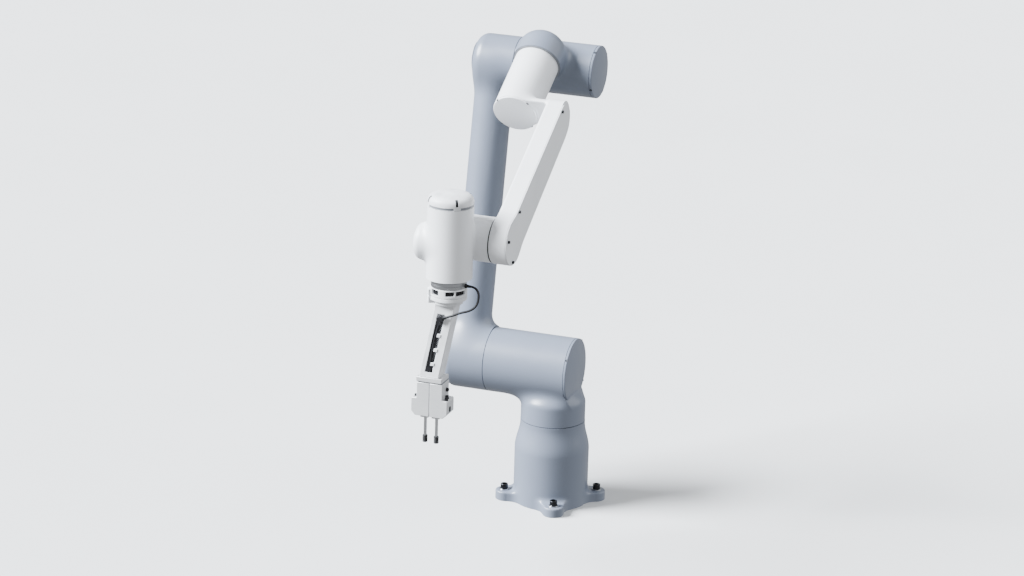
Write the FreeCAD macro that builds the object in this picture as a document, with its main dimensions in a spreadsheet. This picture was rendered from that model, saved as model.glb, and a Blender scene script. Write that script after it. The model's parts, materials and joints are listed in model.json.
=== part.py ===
"""Collaborative robot arm: six turning joints and a two-jaw gripper.

Millimetres, +Z up.  The origin is the centre of the base's bottom face.  The first joint turns about Z, and
the arm reaches towards -Y.  The shoulder, elbow and wrist-pitch axes are parallel to X.
"""
import FreeCAD, Part
import math
import os
import re
import Sketcher
from FreeCAD import Placement, Rotation, Vector

# ---------------------------------------------------------------- driving dimensions
SIZES = {
    # where the joints are
    "seam_height": 205.0,       # base bottom to the first seam
    "shoulder_height": 331.2,   # base bottom to the shoulder axis
    "upper_length": 710.0,      # shoulder axis to elbow axis
    "upper_lean": 10.95,        # upper arm leans back from vertical, degrees
    "fore_slope": 30.75,        # forearm points below horizontal, degrees
    "fore_offset": 80.0,        # elbow axis to forearm-roll axis
    "fore_side": 78.8,          # forearm-roll axis left of the base axis
    "fore_length": 631.8,       # elbow axis to wrist-pitch axis, along the forearm
    "tool_offset": 68.7,        # wrist-pitch axis to tool axis
    "wall": 7.0,
    "seam_half": 0.8,           # half of the groove at every turning seam
    "seam_depth": 1.6,
    "free_gap": 0.3,            # between faces that turn past each other
    "fit_gap": 0.05,            # radial clearance of every spigot in its bearing
    "spigot_length": 9.0,
    "spigot_wall": 9.0,
    # base
    "base_radius": 89.0,
    "neck_radius": 77.3,
    "flare_low": 146.0,
    "flare_high": 193.0,
    "ear_thick": 22.0,
    "ear_reach": 132.0,
    "ear_half": 25.0,
    "ear_turn": 23.0,
    "bolt_circle": 222.0,
    "bolt_hole": 6.75,
    "panel_half": 41.0,
    "panel_low": 42.0,
    "panel_high": 118.0,
    "panel_face": 79.0,
    # shoulder and upper arm, distances along X
    "hub_seam": 154.7,
    "hub_far": 262.0,
    "shoulder_end": 46.2,
    "neck_top": -84.0,          # where the neck starts to round over, below the shoulder axis
    "neck_crown": -50.0,
    "cap_dome": 9.0,
    "tube_side": 216.2,
    "tube_radius": 45.6,
    "tube_wall": 6.0,
    "foot_round": 15.0,
    "top_round": 24.0,
    "drive_bore": 46.0,         # bore of the large output bearings
    # elbow and forearm
    "elbow_radius": 62.3,
    "elbow_end": 38.5,
    "stub_radius": 58.0,
    "stub_seam": 74.2,
    "stub_round": 46.0,
    "stub_back": -4.0,
    "elbow_bore": 36.0,
    "limb_radius": 52.0,        # forearm barrel, wrist hubs and tool barrel
    "limb_bore": 28.0,
    "barrel_end": 240.7,
    "link_inner": 2.9,
    "link_outer": 47.0,
    "link_start": 207.0,
    "link_half": 46.0,
    "cover_thick": 3.0,
    # wrist
    "wrist_top": 90.0,
    "wrist_bottom": 76.2,
    "button_radius": 43.0,
    "button_reach": 76.0,
    # tool
    "flange_radius": 40.0,
    "flange_thick": 28.5,
    "adapter_radius": 37.0,
    "adapter_thick": 31.0,
    "column_wide": 45.0,
    "column_deep": 42.0,
    "column_shift": 35.0,
    "column_drop": 176.0,
    "slot_wide": 17.0,
    "slot_deep": 16.0,
    "grip_wide": 70.0,
    "grip_deep": 44.0,
    "grip_height": 80.0,
    "plate_thick": 14.0,
    "foot_wide": 96.0,
    "foot_height": 44.0,
    "jaw_pitch": 27.0,          # between the two rods
    "rod_radius": 3.6,
    "rod_length": 58.0,
    "tip_height": 17.0,
    "lead_radius": 2.6,
    "socket_reach": 5.0,        # how far the lead's socket stands out of the flange
    "plug_turn": 31.0,          # how far the plug points up from square to the bracket, degrees
    # fasteners
    "m4_head": 3.5,
    "m4_height": 4.0,
    "m4_key": 1.5,
    "m4_shank": 2.0,
}

doc = FreeCAD.newDocument("robot_arm")
sheet = doc.addObject("Spreadsheet::Sheet", "Size")
for row, (alias, value) in enumerate(SIZES.items(), start=1):
    sheet.set(f"A{row}", alias)
    sheet.set(f"B{row}", str(value))
    sheet.setAlias(f"B{row}", alias)
doc.recompute()


def bound(formula):
    """The formula with each size name turned into a reference to the sheet."""
    def refer(word):
        return "Size." + word[0] if word[0] in SIZES else word[0]
    return re.sub(r"[a-z_][a-z0-9_]*", refer, str(formula))


def value(formula):
    """The number that a formula of sizes comes to now."""
    result = probe.evalExpression(bound(formula))
    return float(getattr(result, "Value", result))


def bind(item, path, formula):
    item.setExpression(path, bound(formula))


# ---------------------------------------------------------------- PartDesign helpers
probe = doc.addObject("App::FeaturePython", "probe")


def new_body(name, frame):
    body = doc.addObject("PartDesign::Body", name)
    body.Label = name
    body.AllowCompound = True
    body.Placement = frame
    return body


def new_sketch(body, plane, lift="0"):
    """A sketch on one of the body's origin planes, moved along the plane's normal."""
    sketch = body.newObject("Sketcher::SketchObject", body.Name + "_sketch")
    support = [item for item in body.Origin.OriginFeatures if item.Role == plane][0]
    sketch.AttachmentSupport = [(support, "")]
    sketch.MapMode = "FlatFace"
    bind(sketch, "AttachmentOffset.Base.z", lift)
    return sketch


def pin(sketch, edge, end, across, up):
    """Fix a point of an edge at a place given by two formulas."""
    for kind, formula in (("DistanceX", across), ("DistanceY", up)):
        number = sketch.addConstraint(Sketcher.Constraint(kind, -1, 1, edge, end, value(formula)))
        bind(sketch, f"Constraints[{number}]", formula)


def dome_edge(start, end):
    """An arc from start to the axis point end, with its centre on the axis."""
    height = (end.y ** 2 - start.y ** 2 - start.x ** 2) / (2 * (end.y - start.y))
    radius = abs(end.y - height)
    turn = (math.atan2(start.y - height, start.x) + math.copysign(math.pi / 2, end.y - height)) / 2
    middle = Vector(radius * math.cos(turn), height + radius * math.sin(turn), 0)
    return Part.Arc(start, middle, end)


def outline(sketch, points):
    """A closed outline.  A point marked "dome" is reached by an arc centred on the vertical axis."""
    places = [Vector(value(point[0]), value(point[1]), 0) for point in points]
    count = len(points)
    for number in range(count):
        start, end = places[number], places[(number + 1) % count]
        if len(points[(number + 1) % count]) > 2:
            edge = sketch.addGeometry(dome_edge(start, end), False)
            arc = sketch.Geometry[edge]
            forward = arc.StartPoint.distanceToPoint(start) < 1e-4
            pin(sketch, edge, 1 if forward else 2, *points[number][:2])
            pin(sketch, edge, 2 if forward else 1, *points[(number + 1) % count][:2])
            sketch.addConstraint(Sketcher.Constraint("PointOnObject", edge, 3, -2))
        else:
            edge = sketch.addGeometry(Part.LineSegment(start, end), False)
            pin(sketch, edge, 1, *points[number][:2])
            pin(sketch, edge, 2, *points[(number + 1) % count][:2])


def circle(sketch, across, up, radius):
    place = Vector(value(across), value(up), 0)
    edge = sketch.addGeometry(Part.Circle(place, Vector(0, 0, 1), value(radius)), False)
    pin(sketch, edge, 3, across, up)
    number = sketch.addConstraint(Sketcher.Constraint("Radius", edge, value(radius)))
    bind(sketch, f"Constraints[{number}]", radius)


def rectangle(sketch, left, low, right, high):
    outline(sketch, [(left, low), (right, low), (right, high), (left, high)])


def settle(body, feature):
    body.Tip = feature
    doc.recompute()
    return feature


def revolve(body, points, plane="XZ_Plane", axis="V_Axis", cut=False):
    sketch = new_sketch(body, plane)
    outline(sketch, points)
    kind = "PartDesign::Groove" if cut else "PartDesign::Revolution"
    feature = body.newObject(kind, body.Name + ("_groove" if cut else "_turning"))
    feature.Profile = sketch
    feature.ReferenceAxis = (sketch, [axis])
    feature.Angle = 360
    return settle(body, feature)


def extrude(body, sketch, length, cut=False):
    """Pad or cut a sketch along its plane's normal."""
    feature = body.newObject("PartDesign::Pocket" if cut else "PartDesign::Pad",
                             body.Name + ("_pocket" if cut else "_pad"))
    feature.Profile = sketch
    feature.Reversed = cut
    bind(feature, "Length", length)
    before = body.Shape.Volume if cut else 0
    settle(body, feature)
    if cut and body.Shape.Volume >= before:
        raise RuntimeError(feature.Label + " cuts nothing")
    return feature


def bar(body, plane, across, up, radius, low, high, cut=False):
    """A round bar or bore along a plane's normal, from low to high."""
    sketch = new_sketch(body, plane, low)
    circle(sketch, across, up, radius)
    return extrude(body, sketch, f"({high}) - ({low})", cut)


def block(body, plane, corners, low, high, cut=False):
    """A rectangular block or pocket along a plane's normal, from low to high."""
    sketch = new_sketch(body, plane, low)
    rectangle(sketch, *corners)
    return extrude(body, sketch, f"({high}) - ({low})", cut)


def bores(body, plane, spots, radius, low, high):
    """Several equal bores cut at once."""
    sketch = new_sketch(body, plane, low)
    for across, up in spots:
        circle(sketch, across, up, radius)
    return extrude(body, sketch, f"({high}) - ({low})", True)


def soften(body, radius, choose):
    """Round the edges of the body that choose accepts."""
    base = body.Tip
    names = [f"Edge{number}" for number, edge in enumerate(base.Shape.Edges, start=1) if choose(edge)]
    feature = body.newObject("PartDesign::Fillet", body.Name + "_round")
    feature.Base = (base, names)
    bind(feature, "Radius", radius)
    return settle(body, feature)


def ring_at(height, radius, axis="z"):
    """Chooses the full circles at a height along a body's own axis."""
    def choose(edge):
        curve = edge.Curve
        if not hasattr(curve, "Radius") or not hasattr(curve, "Center"):
            return False
        return abs(getattr(curve.Center, axis) - height) < 0.01 and abs(curve.Radius - radius) < 0.01
    return choose


def turned(name, frame, points):
    """A sub-part turned about its own Z axis, from points (radius, height)."""
    body = new_body(name, frame)
    revolve(body, points)
    return body


# ---------------------------------------------------------------- frames of the links
def frame(origin, x_axis, z_axis):
    y_axis = z_axis.cross(x_axis)
    return Placement(origin, Rotation(x_axis, y_axis, z_axis, "ZXY"))


def moved(base, x=0.0, y=0.0, z=0.0):
    return base.multiply(Placement(Vector(x, y, z), Rotation()))


EAST = Vector(1, 0, 0)
WEST = Vector(-1, 0, 0)
NORTH = Vector(0, 1, 0)
UP = Vector(0, 0, 1)
DOWN = Vector(0, 0, -1)
lean = math.radians(SIZES["upper_lean"])
slope = math.radians(SIZES["fore_slope"])
along_upper = Vector(0, math.sin(lean), math.cos(lean))
along_fore = Vector(0, -math.cos(slope), -math.sin(slope))
above_fore = Vector(0, -math.sin(slope), math.cos(slope))

shoulder_centre = Vector(0, 0, SIZES["shoulder_height"])
elbow_centre = shoulder_centre + along_upper * SIZES["upper_length"]
roll_centre = elbow_centre + above_fore * SIZES["fore_offset"] + WEST * SIZES["fore_side"]
wrist_centre = roll_centre + along_fore * SIZES["fore_length"]
tool_centre = wrist_centre - NORTH * SIZES["tool_offset"]

base_frame = Placement()
shoulder_frame = Placement(shoulder_centre, Rotation())
upper_frame = frame(shoulder_centre, along_upper, EAST)      # X along the upper arm
fore_frame = frame(roll_centre, EAST, along_fore)            # Z along the forearm, Y above it
wrist_frame = Placement(wrist_centre, Rotation())
tool_frame = Placement(tool_centre, Rotation())

parts = []


def keep(item, name=None):
    """Count a finished sub-part among those that are written out."""
    if name:
        item.Label = name
    parts.append(item)
    return item


# ---------------------------------------------------------------- shared pieces
def seal(name, place, radius, inner, height):
    """A dark ring that fills the groove of a turning seam, on the side of the fixed face."""
    keep(turned(name, place, [
        (inner, f"{height} - seam_half"), (f"{radius} - seam_depth", f"{height} - seam_half"),
        (f"{radius} - seam_depth", f"{height} + seam_half - free_gap"),
        (inner, f"{height} + seam_half - free_gap")]))


def gearbox(name, place, outer, bore, face, depth):
    """A strain-wave gear set in its ring, open in the middle for the output spigot and the harness.

    The output face is at height face and the set reaches depth below it (above it if depth is negative).
    """
    keep(turned(name, place, [
        (bore, face), (outer, face), (outer, f"{face} - 0.45 * ({depth})"),
        (f"{outer} - 4", f"{face} - 0.45 * ({depth})"), (f"{outer} - 4", f"{face} - ({depth})"),
        (f"{bore} - 14", f"{face} - ({depth})"), (f"{bore} - 14", f"{face} - 0.6 * ({depth})"),
        (bore, f"{face} - 0.6 * ({depth})")]))


def motor(name, place, outer, bore, face, depth):
    """A frameless motor with its brake and encoder stacked behind it on the hollow shaft."""
    keep(turned(name, place, [
        (bore, face), (outer, face), (outer, f"{face} - 0.5 * ({depth})"),
        (f"{outer} - 9", f"{face} - 0.5 * ({depth})"), (f"{outer} - 9", f"{face} - 0.75 * ({depth})"),
        (f"{outer} - 16", f"{face} - 0.75 * ({depth})"), (f"{outer} - 16", f"{face} - ({depth})"),
        (bore, f"{face} - ({depth})")]))


def polar(radius, angles):
    """Formulas of the places at a radius and some angles, as (across, up)."""
    return [(f"({radius}) * cos({angle} deg)", f"({radius}) * sin({angle} deg)") for angle in angles]


def quarter_turns(first):
    return [first + 90 * step for step in range(4)]


def screws(name, place, spots, seat, size="m4", length="8"):
    """Socket-head screws that point along -Z of a frame, with their heads standing on height seat."""
    group = []
    for number, (across, up) in enumerate(spots):
        spot = place.multiply(Placement(Vector(value(across), value(up), value(seat)), Rotation()))
        head = doc.addObject("Part::Cylinder", f"{name}_head_{number}")
        bind(head, "Radius", f"{size}_head")
        bind(head, "Height", f"{size}_height")
        head.Placement = spot
        shank = doc.addObject("Part::Cylinder", f"{name}_shank_{number}")
        bind(shank, "Radius", f"{size}_shank")
        bind(shank, "Height", length)
        shank.Placement = moved(spot, z=-value(length))
        key = doc.addObject("Part::Prism", f"{name}_key_{number}")
        key.Polygon = 6
        bind(key, "Circumradius", f"{size}_key")
        bind(key, "Height", f"{size}_height")
        key.Placement = moved(spot, z=0.45 * value(f"{size}_height"))
        whole = doc.addObject("Part::MultiFuse", f"{name}_whole_{number}")
        whole.Shapes = [head, shank]
        screw = doc.addObject("Part::Cut", f"{name}_{number}")
        screw.Base = whole
        screw.Tool = key
        group.append(screw)
    bundle = doc.addObject("Part::Compound", name)
    bundle.Links = group
    keep(bundle, name)


def screw_seats(body, plane, spots, seat, top, size="m4", length="8"):
    """Counterbores and tapped holes for a set of screws."""
    bores(body, plane, spots, f"{size}_head + 0.2", seat, top)
    bores(body, plane, spots, f"{size}_shank + 0.02", f"({seat}) - ({length}) - 0.5", f"({seat}) + 0.5")


def end_cap(name, place, radius, bore, end, spots, rise="cap_dome"):
    """A convex cap that closes a barrel, with a short collar inside the bore."""
    body = new_body(name, place)
    revolve(body, [
        ("0", f"{end} - 3"), (f"{bore} - 5", f"{end} - 3"), (f"{bore} - 5", f"{end} - 8"),
        (bore, f"{end} - 8"), (bore, end), (radius, end), (f"{radius}", f"{end} + 2"),
        ("0", f"{end} + 2 + {rise}", "dome")])
    screw_seats(body, "XY_Plane", spots, f"{end} + 1", f"{end} + 12")
    keep(body)


# ---------------------------------------------------------------- base
def make_base():
    body = new_body("base_casting", base_frame)
    revolve(body, [
        ("62", "0"), ("base_radius", "0"), ("base_radius", "flare_low"), ("neck_radius", "flare_high"),
        ("neck_radius", "seam_height - seam_half"), ("neck_radius - wall", "seam_height - seam_half"),
        ("neck_radius - wall", "flare_high"), ("base_radius - wall", "flare_low"),
        ("base_radius - wall", "ear_thick"), ("62", "ear_thick")])
    soften(body, "60", lambda edge: ring_at(value("flare_low"), value("base_radius"))(edge)
           or ring_at(value("flare_high"), value("neck_radius"))(edge))
    sketch = new_sketch(body, "XY_Plane")
    outline(sketch, [("70", "-1.5 * ear_half"), ("ear_reach - 22", "-ear_half"),
                     ("ear_reach - 6", "-0.62 * ear_half"),
                     ("ear_reach", "-0.2 * ear_half"), ("ear_reach", "0.2 * ear_half"),
                     ("ear_reach - 6", "0.62 * ear_half"), ("ear_reach - 22", "ear_half"),
                     ("70", "1.5 * ear_half")])
    ear = extrude(body, sketch, "ear_thick")
    ears = body.newObject("PartDesign::PolarPattern", "base_ears")
    ears.Originals = [ear]
    ears.Axis = (sketch, ["N_Axis"])
    ears.Angle = 360
    ears.Occurrences = 4
    settle(body, ears)
    bores(body, "XY_Plane", polar("bolt_circle / 2", quarter_turns(0)), "bolt_hole", "-1", "ear_thick + 1")
    turn = Rotation(UP, SIZES["ear_turn"])
    body.Placement = Placement(Vector(), turn)
    window_angle = 90 - SIZES["ear_turn"]
    sketch = new_sketch(body, "XY_Plane", "panel_low")
    across = Vector(math.cos(math.radians(window_angle - 90)), math.sin(math.radians(window_angle - 90)), 0)
    out = Vector(math.cos(math.radians(window_angle)), math.sin(math.radians(window_angle)), 0)
    corners = []
    for side, depth in ((-1, 60), (1, 60), (1, 100), (-1, 100)):
        spot = across * side * SIZES["panel_half"] + out * depth
        corners.append((f"{spot.x:.4f}", f"{spot.y:.4f}"))
    outline(sketch, corners)
    extrude(body, sketch, "panel_high - panel_low", True)
    keep(body)

    panel = new_body("rear_panel", base_frame)
    block(panel, "XY_Plane", ("-panel_half + 0.1", "panel_face - 4", "panel_half - 0.1", "panel_face"),
          "panel_low + 0.1", "panel_high - 0.1")
    spots = [(f"{side} * (panel_half - 6)", f"{height}") for side in (-1, 1)
             for height in ("panel_low + 6", "panel_high - 6")]
    rear = frame(Vector(0, SIZES["panel_face"], 0), WEST, NORTH)
    plugs = panel_places()
    sketch = new_sketch(panel, "XZ_Plane", "-panel_face - 1")
    for across, up, radius in plugs:
        circle(sketch, across, up, f"{radius} - 2")
    for across, up in spots:
        circle(sketch, across, up, "m4_shank + 0.02")
    extrude(panel, sketch, "6", True)
    keep(panel)
    screws("panel_screws", rear, spots, "0", length="3.9")

    group = []
    for number, (across, up, radius) in enumerate(plugs):
        spot = rear.multiply(Placement(Vector(-value(across), value(up), 0), Rotation()))
        shell = doc.addObject("Part::Cylinder", f"plug_shell_{number}")
        shell.Radius = radius
        shell.Height = 12
        shell.Placement = spot
        tail = doc.addObject("Part::Cylinder", f"plug_tail_{number}")
        tail.Radius = radius - 2.05
        tail.Height = 8
        tail.Placement = moved(spot, z=-8)
        bore = doc.addObject("Part::Cylinder", f"plug_bore_{number}")
        bore.Radius = radius - 3
        bore.Height = 9
        bore.Placement = moved(spot, z=4)
        whole = doc.addObject("Part::MultiFuse", f"plug_whole_{number}")
        whole.Shapes = [shell, tail]
        plug = doc.addObject("Part::Cut", f"plug_{number}")
        plug.Base = whole
        plug.Tool = bore
        group.append(plug)
    bundle = doc.addObject("Part::Compound", "panel_plugs")
    bundle.Links = group
    keep(bundle, "panel_plugs")

    seal("yaw_seal", base_frame, "neck_radius", "neck_radius - wall + 0.1", "seam_height")
    gearbox("yaw_gearbox", base_frame, "neck_radius - wall - 0.1", "drive_bore", "seam_height - 2", "34")
    motor("yaw_motor", base_frame, "drive_bore + 14", "18", "seam_height - 38", "76")


def panel_places():
    """Connector places on the rear panel: across, up, radius."""
    return [("-20", "panel_low + 50", 13), ("12", "panel_low + 52", 9), ("-22", "panel_low + 20", 8),
            ("0", "panel_low + 22", 6), ("20", "panel_low + 22", 6)]


# ---------------------------------------------------------------- shoulder
CAP_SCREW_TURN = 55


def make_shoulder():
    body = new_body("shoulder_housing", shoulder_frame)
    low = "seam_height - shoulder_height + seam_half"
    revolve(body, [("0", low), ("neck_radius - 0.6", low), ("neck_radius - 0.6", "neck_top"),
                   ("0", "neck_crown", "dome")])
    bar(body, "YZ_Plane", "0", "0", "neck_radius", "-hub_seam + seam_half", "shoulder_end")
    bar(body, "YZ_Plane", "0", "0", "neck_radius - wall", "-hub_seam - 1", "shoulder_end + 1", True)
    bar(body, "YZ_Plane", "0", "0", "neck_radius + fit_gap", "shoulder_end", "neck_radius + 1", True)
    bar(body, "XY_Plane", "0", "0", "neck_radius - wall - 20", f"{low} + 12", "0", True)
    sketch = new_sketch(body, "XY_Plane", f"{low} - spigot_length")
    circle(sketch, "0", "0", "drive_bore - fit_gap")
    extrude(body, sketch, "spigot_length + 1")
    bar(body, "XY_Plane", "0", "0", "drive_bore - spigot_wall", f"{low} - spigot_length - 1", f"{low} + 13",
        True)
    spots = polar("neck_radius - 5.5", quarter_turns(CAP_SCREW_TURN))
    bores(body, "YZ_Plane", spots, "m4_shank + 2.5", "shoulder_end - 9", "shoulder_end + 1")
    keep(body)
    axis = frame(shoulder_centre, NORTH, EAST)
    end_cap("shoulder_end_cap", axis, "neck_radius", "neck_radius - wall - 0.1", "shoulder_end",
            polar("neck_radius - 5.5", quarter_turns(CAP_SCREW_TURN)))
    screws("shoulder_cap_screws", axis, polar("neck_radius - 5.5", quarter_turns(CAP_SCREW_TURN)),
           "shoulder_end + 1")
    flip = frame(shoulder_centre, NORTH, WEST)
    seal("shoulder_seal", flip, "neck_radius", "neck_radius - wall + 0.1", "hub_seam")
    gearbox("shoulder_gearbox", flip, "neck_radius - wall - 0.1", "drive_bore", "hub_seam - 2", "42")
    motor("shoulder_motor", flip, "drive_bore + 16", "18", "hub_seam - 48", "100")


# ---------------------------------------------------------------- upper arm
def hub(body, x, radius, corner):
    """One round end of the upper arm: a thick disc with its far corner rounded."""
    near = "-hub_seam - seam_half"
    sketch = new_sketch(body, "XY_Plane", "-hub_far")
    circle(sketch, x, "0", radius)
    extrude(body, sketch, f"{near} + hub_far")
    soften(body, corner, lambda edge: ring_at(-value("hub_far"), value(radius))(edge)
           and abs(edge.Curve.Center.x - value(x)) < 0.1)


def make_upper_arm():
    body = new_body("upper_arm_casting", upper_frame)
    hub(body, "0", "neck_radius", "foot_round")
    hub(body, "upper_length", "elbow_radius", "top_round")
    near = "-hub_seam - seam_half"
    bar(body, "YZ_Plane", "0", "-tube_side", "tube_radius", "0", "upper_length")
    bar(body, "YZ_Plane", "0", "-tube_side", "tube_radius - tube_wall", "0", "upper_length", True)
    for x, radius, bore in (("0", "neck_radius", "drive_bore"),
                            ("upper_length", "elbow_radius", "elbow_bore")):
        bar(body, "XY_Plane", x, "0", f"{radius} - wall - 9", "-hub_far + 4", f"{near} - 10", True)
        bar(body, "XY_Plane", x, "0", f"{radius} - wall - 13", "-hub_far - 1", "-hub_far + 5", True)
        bar(body, "XY_Plane", x, "0", f"{bore} - fit_gap", f"{near} - 1", f"{near} + spigot_length")
        bar(body, "XY_Plane", x, "0", f"{bore} - spigot_wall", f"{near} - 11",
            f"{near} + spigot_length + 1", True)
        spots = [(f"{x} + {across}", up) for across,
                 up in polar(f"{radius} - wall - 9.5 - 1", quarter_turns(45))]
        bores(body, "XY_Plane", spots, "m4_shank + 0.02", "-hub_far + 1", "-hub_far + 5")
    keep(body)
    outside = Placement(Vector(), Rotation(EAST, 180))
    for name, x, radius in (("upper_arm_foot_cover", "0", "neck_radius"),
                            ("upper_arm_top_cover", "upper_length", "elbow_radius")):
        cover = new_body(name, moved(upper_frame, x=value(x)).multiply(outside))
        revolve(cover, [("0", "hub_far - 4"), (f"{radius} - wall - 13.1", "hub_far - 4"),
                        (f"{radius} - wall - 13.1", "hub_far"), ("0", "hub_far")])
        bores(cover, "XY_Plane", polar(f"{radius} - wall - 19", quarter_turns(45)), "m4_shank + 0.02",
              "hub_far - 5", "hub_far + 1")
        keep(cover)
    spots = polar("neck_radius - wall - 19", quarter_turns(45))
    far = polar("elbow_radius - wall - 19", quarter_turns(45))
    spots += [(f"upper_length + {across}", up) for across, up in far]
    screws("upper_arm_screws", upper_frame.multiply(outside), spots, "hub_far", length="3.9")

    harness = new_body("arm_harness", upper_frame)
    bar(harness, "YZ_Plane", "0", "-tube_side", "12", "70", "upper_length - 60")
    keep(harness)


# ---------------------------------------------------------------- elbow
def make_elbow():
    body = new_body("elbow_housing", fore_frame)
    west = "fore_side - hub_seam + seam_half"
    east = "fore_side + elbow_end"
    seam = "stub_seam - seam_half"
    sketch = new_sketch(body, "YZ_Plane", west)
    circle(sketch, "-fore_offset", "0", "elbow_radius")
    extrude(body, sketch, f"{east} - ({west})")
    revolve(body, [("0", "stub_back + 4"), ("stub_radius - 16", "stub_back + 4"),
                   ("stub_radius", "stub_round - 14"),
                   ("stub_radius", seam), ("0", seam)])
    sketch = new_sketch(body, "YZ_Plane", f"{west} - 1")
    circle(sketch, "-fore_offset", "0", "elbow_radius - wall")
    extrude(body, sketch, f"{east} - ({west}) + 2", True)
    revolve(body, [("0", "stub_back + 5"), ("stub_radius - 24", "stub_back + 5"),
                   ("stub_radius - wall", "stub_round - 10"), ("stub_radius - wall", "stub_seam"),
                   ("0", "stub_seam")], cut=True)
    bar(body, "XY_Plane", "0", "0", "stub_radius - 22", "stub_back + 3", "stub_back + 8", True)
    keep(body)
    axis = frame(elbow_centre, along_fore, EAST)
    spots = polar("elbow_radius - 5.5", quarter_turns(0))
    end_cap("elbow_end_cap", axis, "elbow_radius", "elbow_radius - wall - 0.1", "elbow_end", spots, "8")
    screws("elbow_cap_screws", axis, spots, "elbow_end + 1")
    flip = frame(elbow_centre, along_fore, WEST)
    seal("elbow_seal", flip, "elbow_radius", "elbow_radius - wall + 0.1", "hub_seam")
    gearbox("elbow_gearbox", flip, "elbow_radius - wall - 0.1", "elbow_bore", "hub_seam - 2", "36")
    motor("elbow_motor", flip, "elbow_bore + 12", "14", "hub_seam - 42", "90")

    back = frame(roll_centre, EAST, along_fore * -1)
    keep(turned("elbow_back_cover", back, [
        ("0", "-stub_back - 5"), ("stub_radius - 22.1", "-stub_back - 5"),
        ("stub_radius - 22.1", "-stub_back - 1"), ("0", "3 - stub_back", "dome")]))
    seal("roll_seal", fore_frame, "stub_radius", "stub_radius - wall + 0.1", "stub_seam")
    gearbox("roll_gearbox", fore_frame, "stub_radius - wall - 0.1", "limb_bore", "stub_seam - 2", "22")


# ---------------------------------------------------------------- forearm
def link_end():
    """The upper end of the flat link, rounded towards the back, as (above, along)."""
    return [("-link_half + 14", "link_start + 22"), ("-link_half + 18", "link_start + 8"),
            ("-link_half + 30", "link_start"), ("link_half", "link_start")]


def make_forearm():
    body = new_body("forearm_casting", fore_frame)
    start = "stub_seam + seam_half"
    revolve(body, [("0", start), ("limb_radius", start), ("limb_radius", "barrel_end"),
                   ("0", "barrel_end")])
    inner = "fore_side + link_inner + seam_half"
    outer = "fore_side + link_outer - cover_thick"
    sketch = new_sketch(body, "YZ_Plane", "0")
    outline(sketch, link_end() + [("link_half", "barrel_end"), ("-link_half + 13", "barrel_end")])
    extrude(body, sketch, outer)
    sketch = new_sketch(body, "YZ_Plane", inner)
    outline(sketch, link_end() + [("link_half", "fore_length"), ("-link_half - 4", "fore_length")])
    extrude(body, sketch, f"{outer} - ({inner})")
    sketch = new_sketch(body, "YZ_Plane", inner)
    circle(sketch, "0", "fore_length", "limb_radius")
    extrude(body, sketch, f"{outer} - ({inner})")
    bar(body, "XY_Plane", "0", "0", "limb_radius - wall", f"{start} + 10", "barrel_end + 1", True)
    bar(body, "XY_Plane", "0", "0", "limb_bore - fit_gap", f"{start} - spigot_length", f"{start} + 1")
    bar(body, "XY_Plane", "0", "0", "limb_bore - spigot_wall", f"{start} - spigot_length - 1",
        f"{start} + 11", True)
    sketch = new_sketch(body, "YZ_Plane", f"{inner} + 6")
    outline(sketch, [("-link_half + 22", "link_start + 8"), ("link_half - 7", "link_start + 8"),
                     ("link_half - 7", "fore_length - 58"), ("-link_half + 6", "fore_length - 58")])
    extrude(body, sketch, "60", True)
    sketch = new_sketch(body, "YZ_Plane", f"{inner} - 1")
    circle(sketch, "0", "fore_length", "limb_radius - wall")
    extrude(body, sketch, "60", True)
    keep(body)

    spots = polar("limb_radius - 5.5", quarter_turns(45))
    end_cap("forearm_end_cap", fore_frame, "limb_radius", "limb_radius - wall - 0.1", "barrel_end", spots,
            "4")
    screws("forearm_cap_screws", fore_frame, spots, "barrel_end + 1")

    cover = new_body("forearm_side_cover", fore_frame)
    sketch = new_sketch(cover, "YZ_Plane", outer)
    outline(sketch, link_end() + [("link_half", "fore_length"), ("-link_half - 4", "fore_length")])
    extrude(cover, sketch, "cover_thick")
    sketch = new_sketch(cover, "YZ_Plane", outer)
    circle(sketch, "0", "fore_length", "limb_radius")
    extrude(cover, sketch, "cover_thick")
    side = frame(roll_centre, along_fore, EAST)
    spots = [("link_start + 50", "-link_half + 5"), ("fore_length - 56", "-link_half + 5"),
             ("fore_length + 27", "-link_half + 16"), ("fore_length + 28", "link_half - 12")]
    holes = [(f"-({up})", across) for across, up in spots]
    bores(cover, "YZ_Plane", holes, "m4_shank + 0.02", f"{outer} - 1", f"{outer} + cover_thick + 1")
    keep(cover)
    screws("forearm_cover_screws", side, spots, f"{outer} + cover_thick", length="cover_thick - 0.1")

    motor("roll_motor", fore_frame, "limb_radius - wall - 2", "12", "barrel_end - 14", "96")
    pitch_flip = frame(wrist_centre, along_fore, WEST)
    face = "-(fore_side + link_inner)"
    seal("pitch_seal", pitch_flip, "limb_radius", "limb_radius - wall + 0.1", face)
    keep(turned("pitch_gearbox", pitch_flip, [
        ("limb_bore", f"{face} - 2"), ("limb_radius - wall - 0.1", f"{face} - 2"),
        ("limb_radius - wall - 0.1", f"{face} - 20"), ("limb_bore", f"{face} - 20")]))
    keep(turned("pitch_motor", pitch_flip, [
        ("12", f"{face} - 21"), ("limb_radius - wall - 3", f"{face} - 21"),
        ("limb_radius - wall - 3", f"{face} - 40"), ("12", f"{face} - 40")]))


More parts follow.
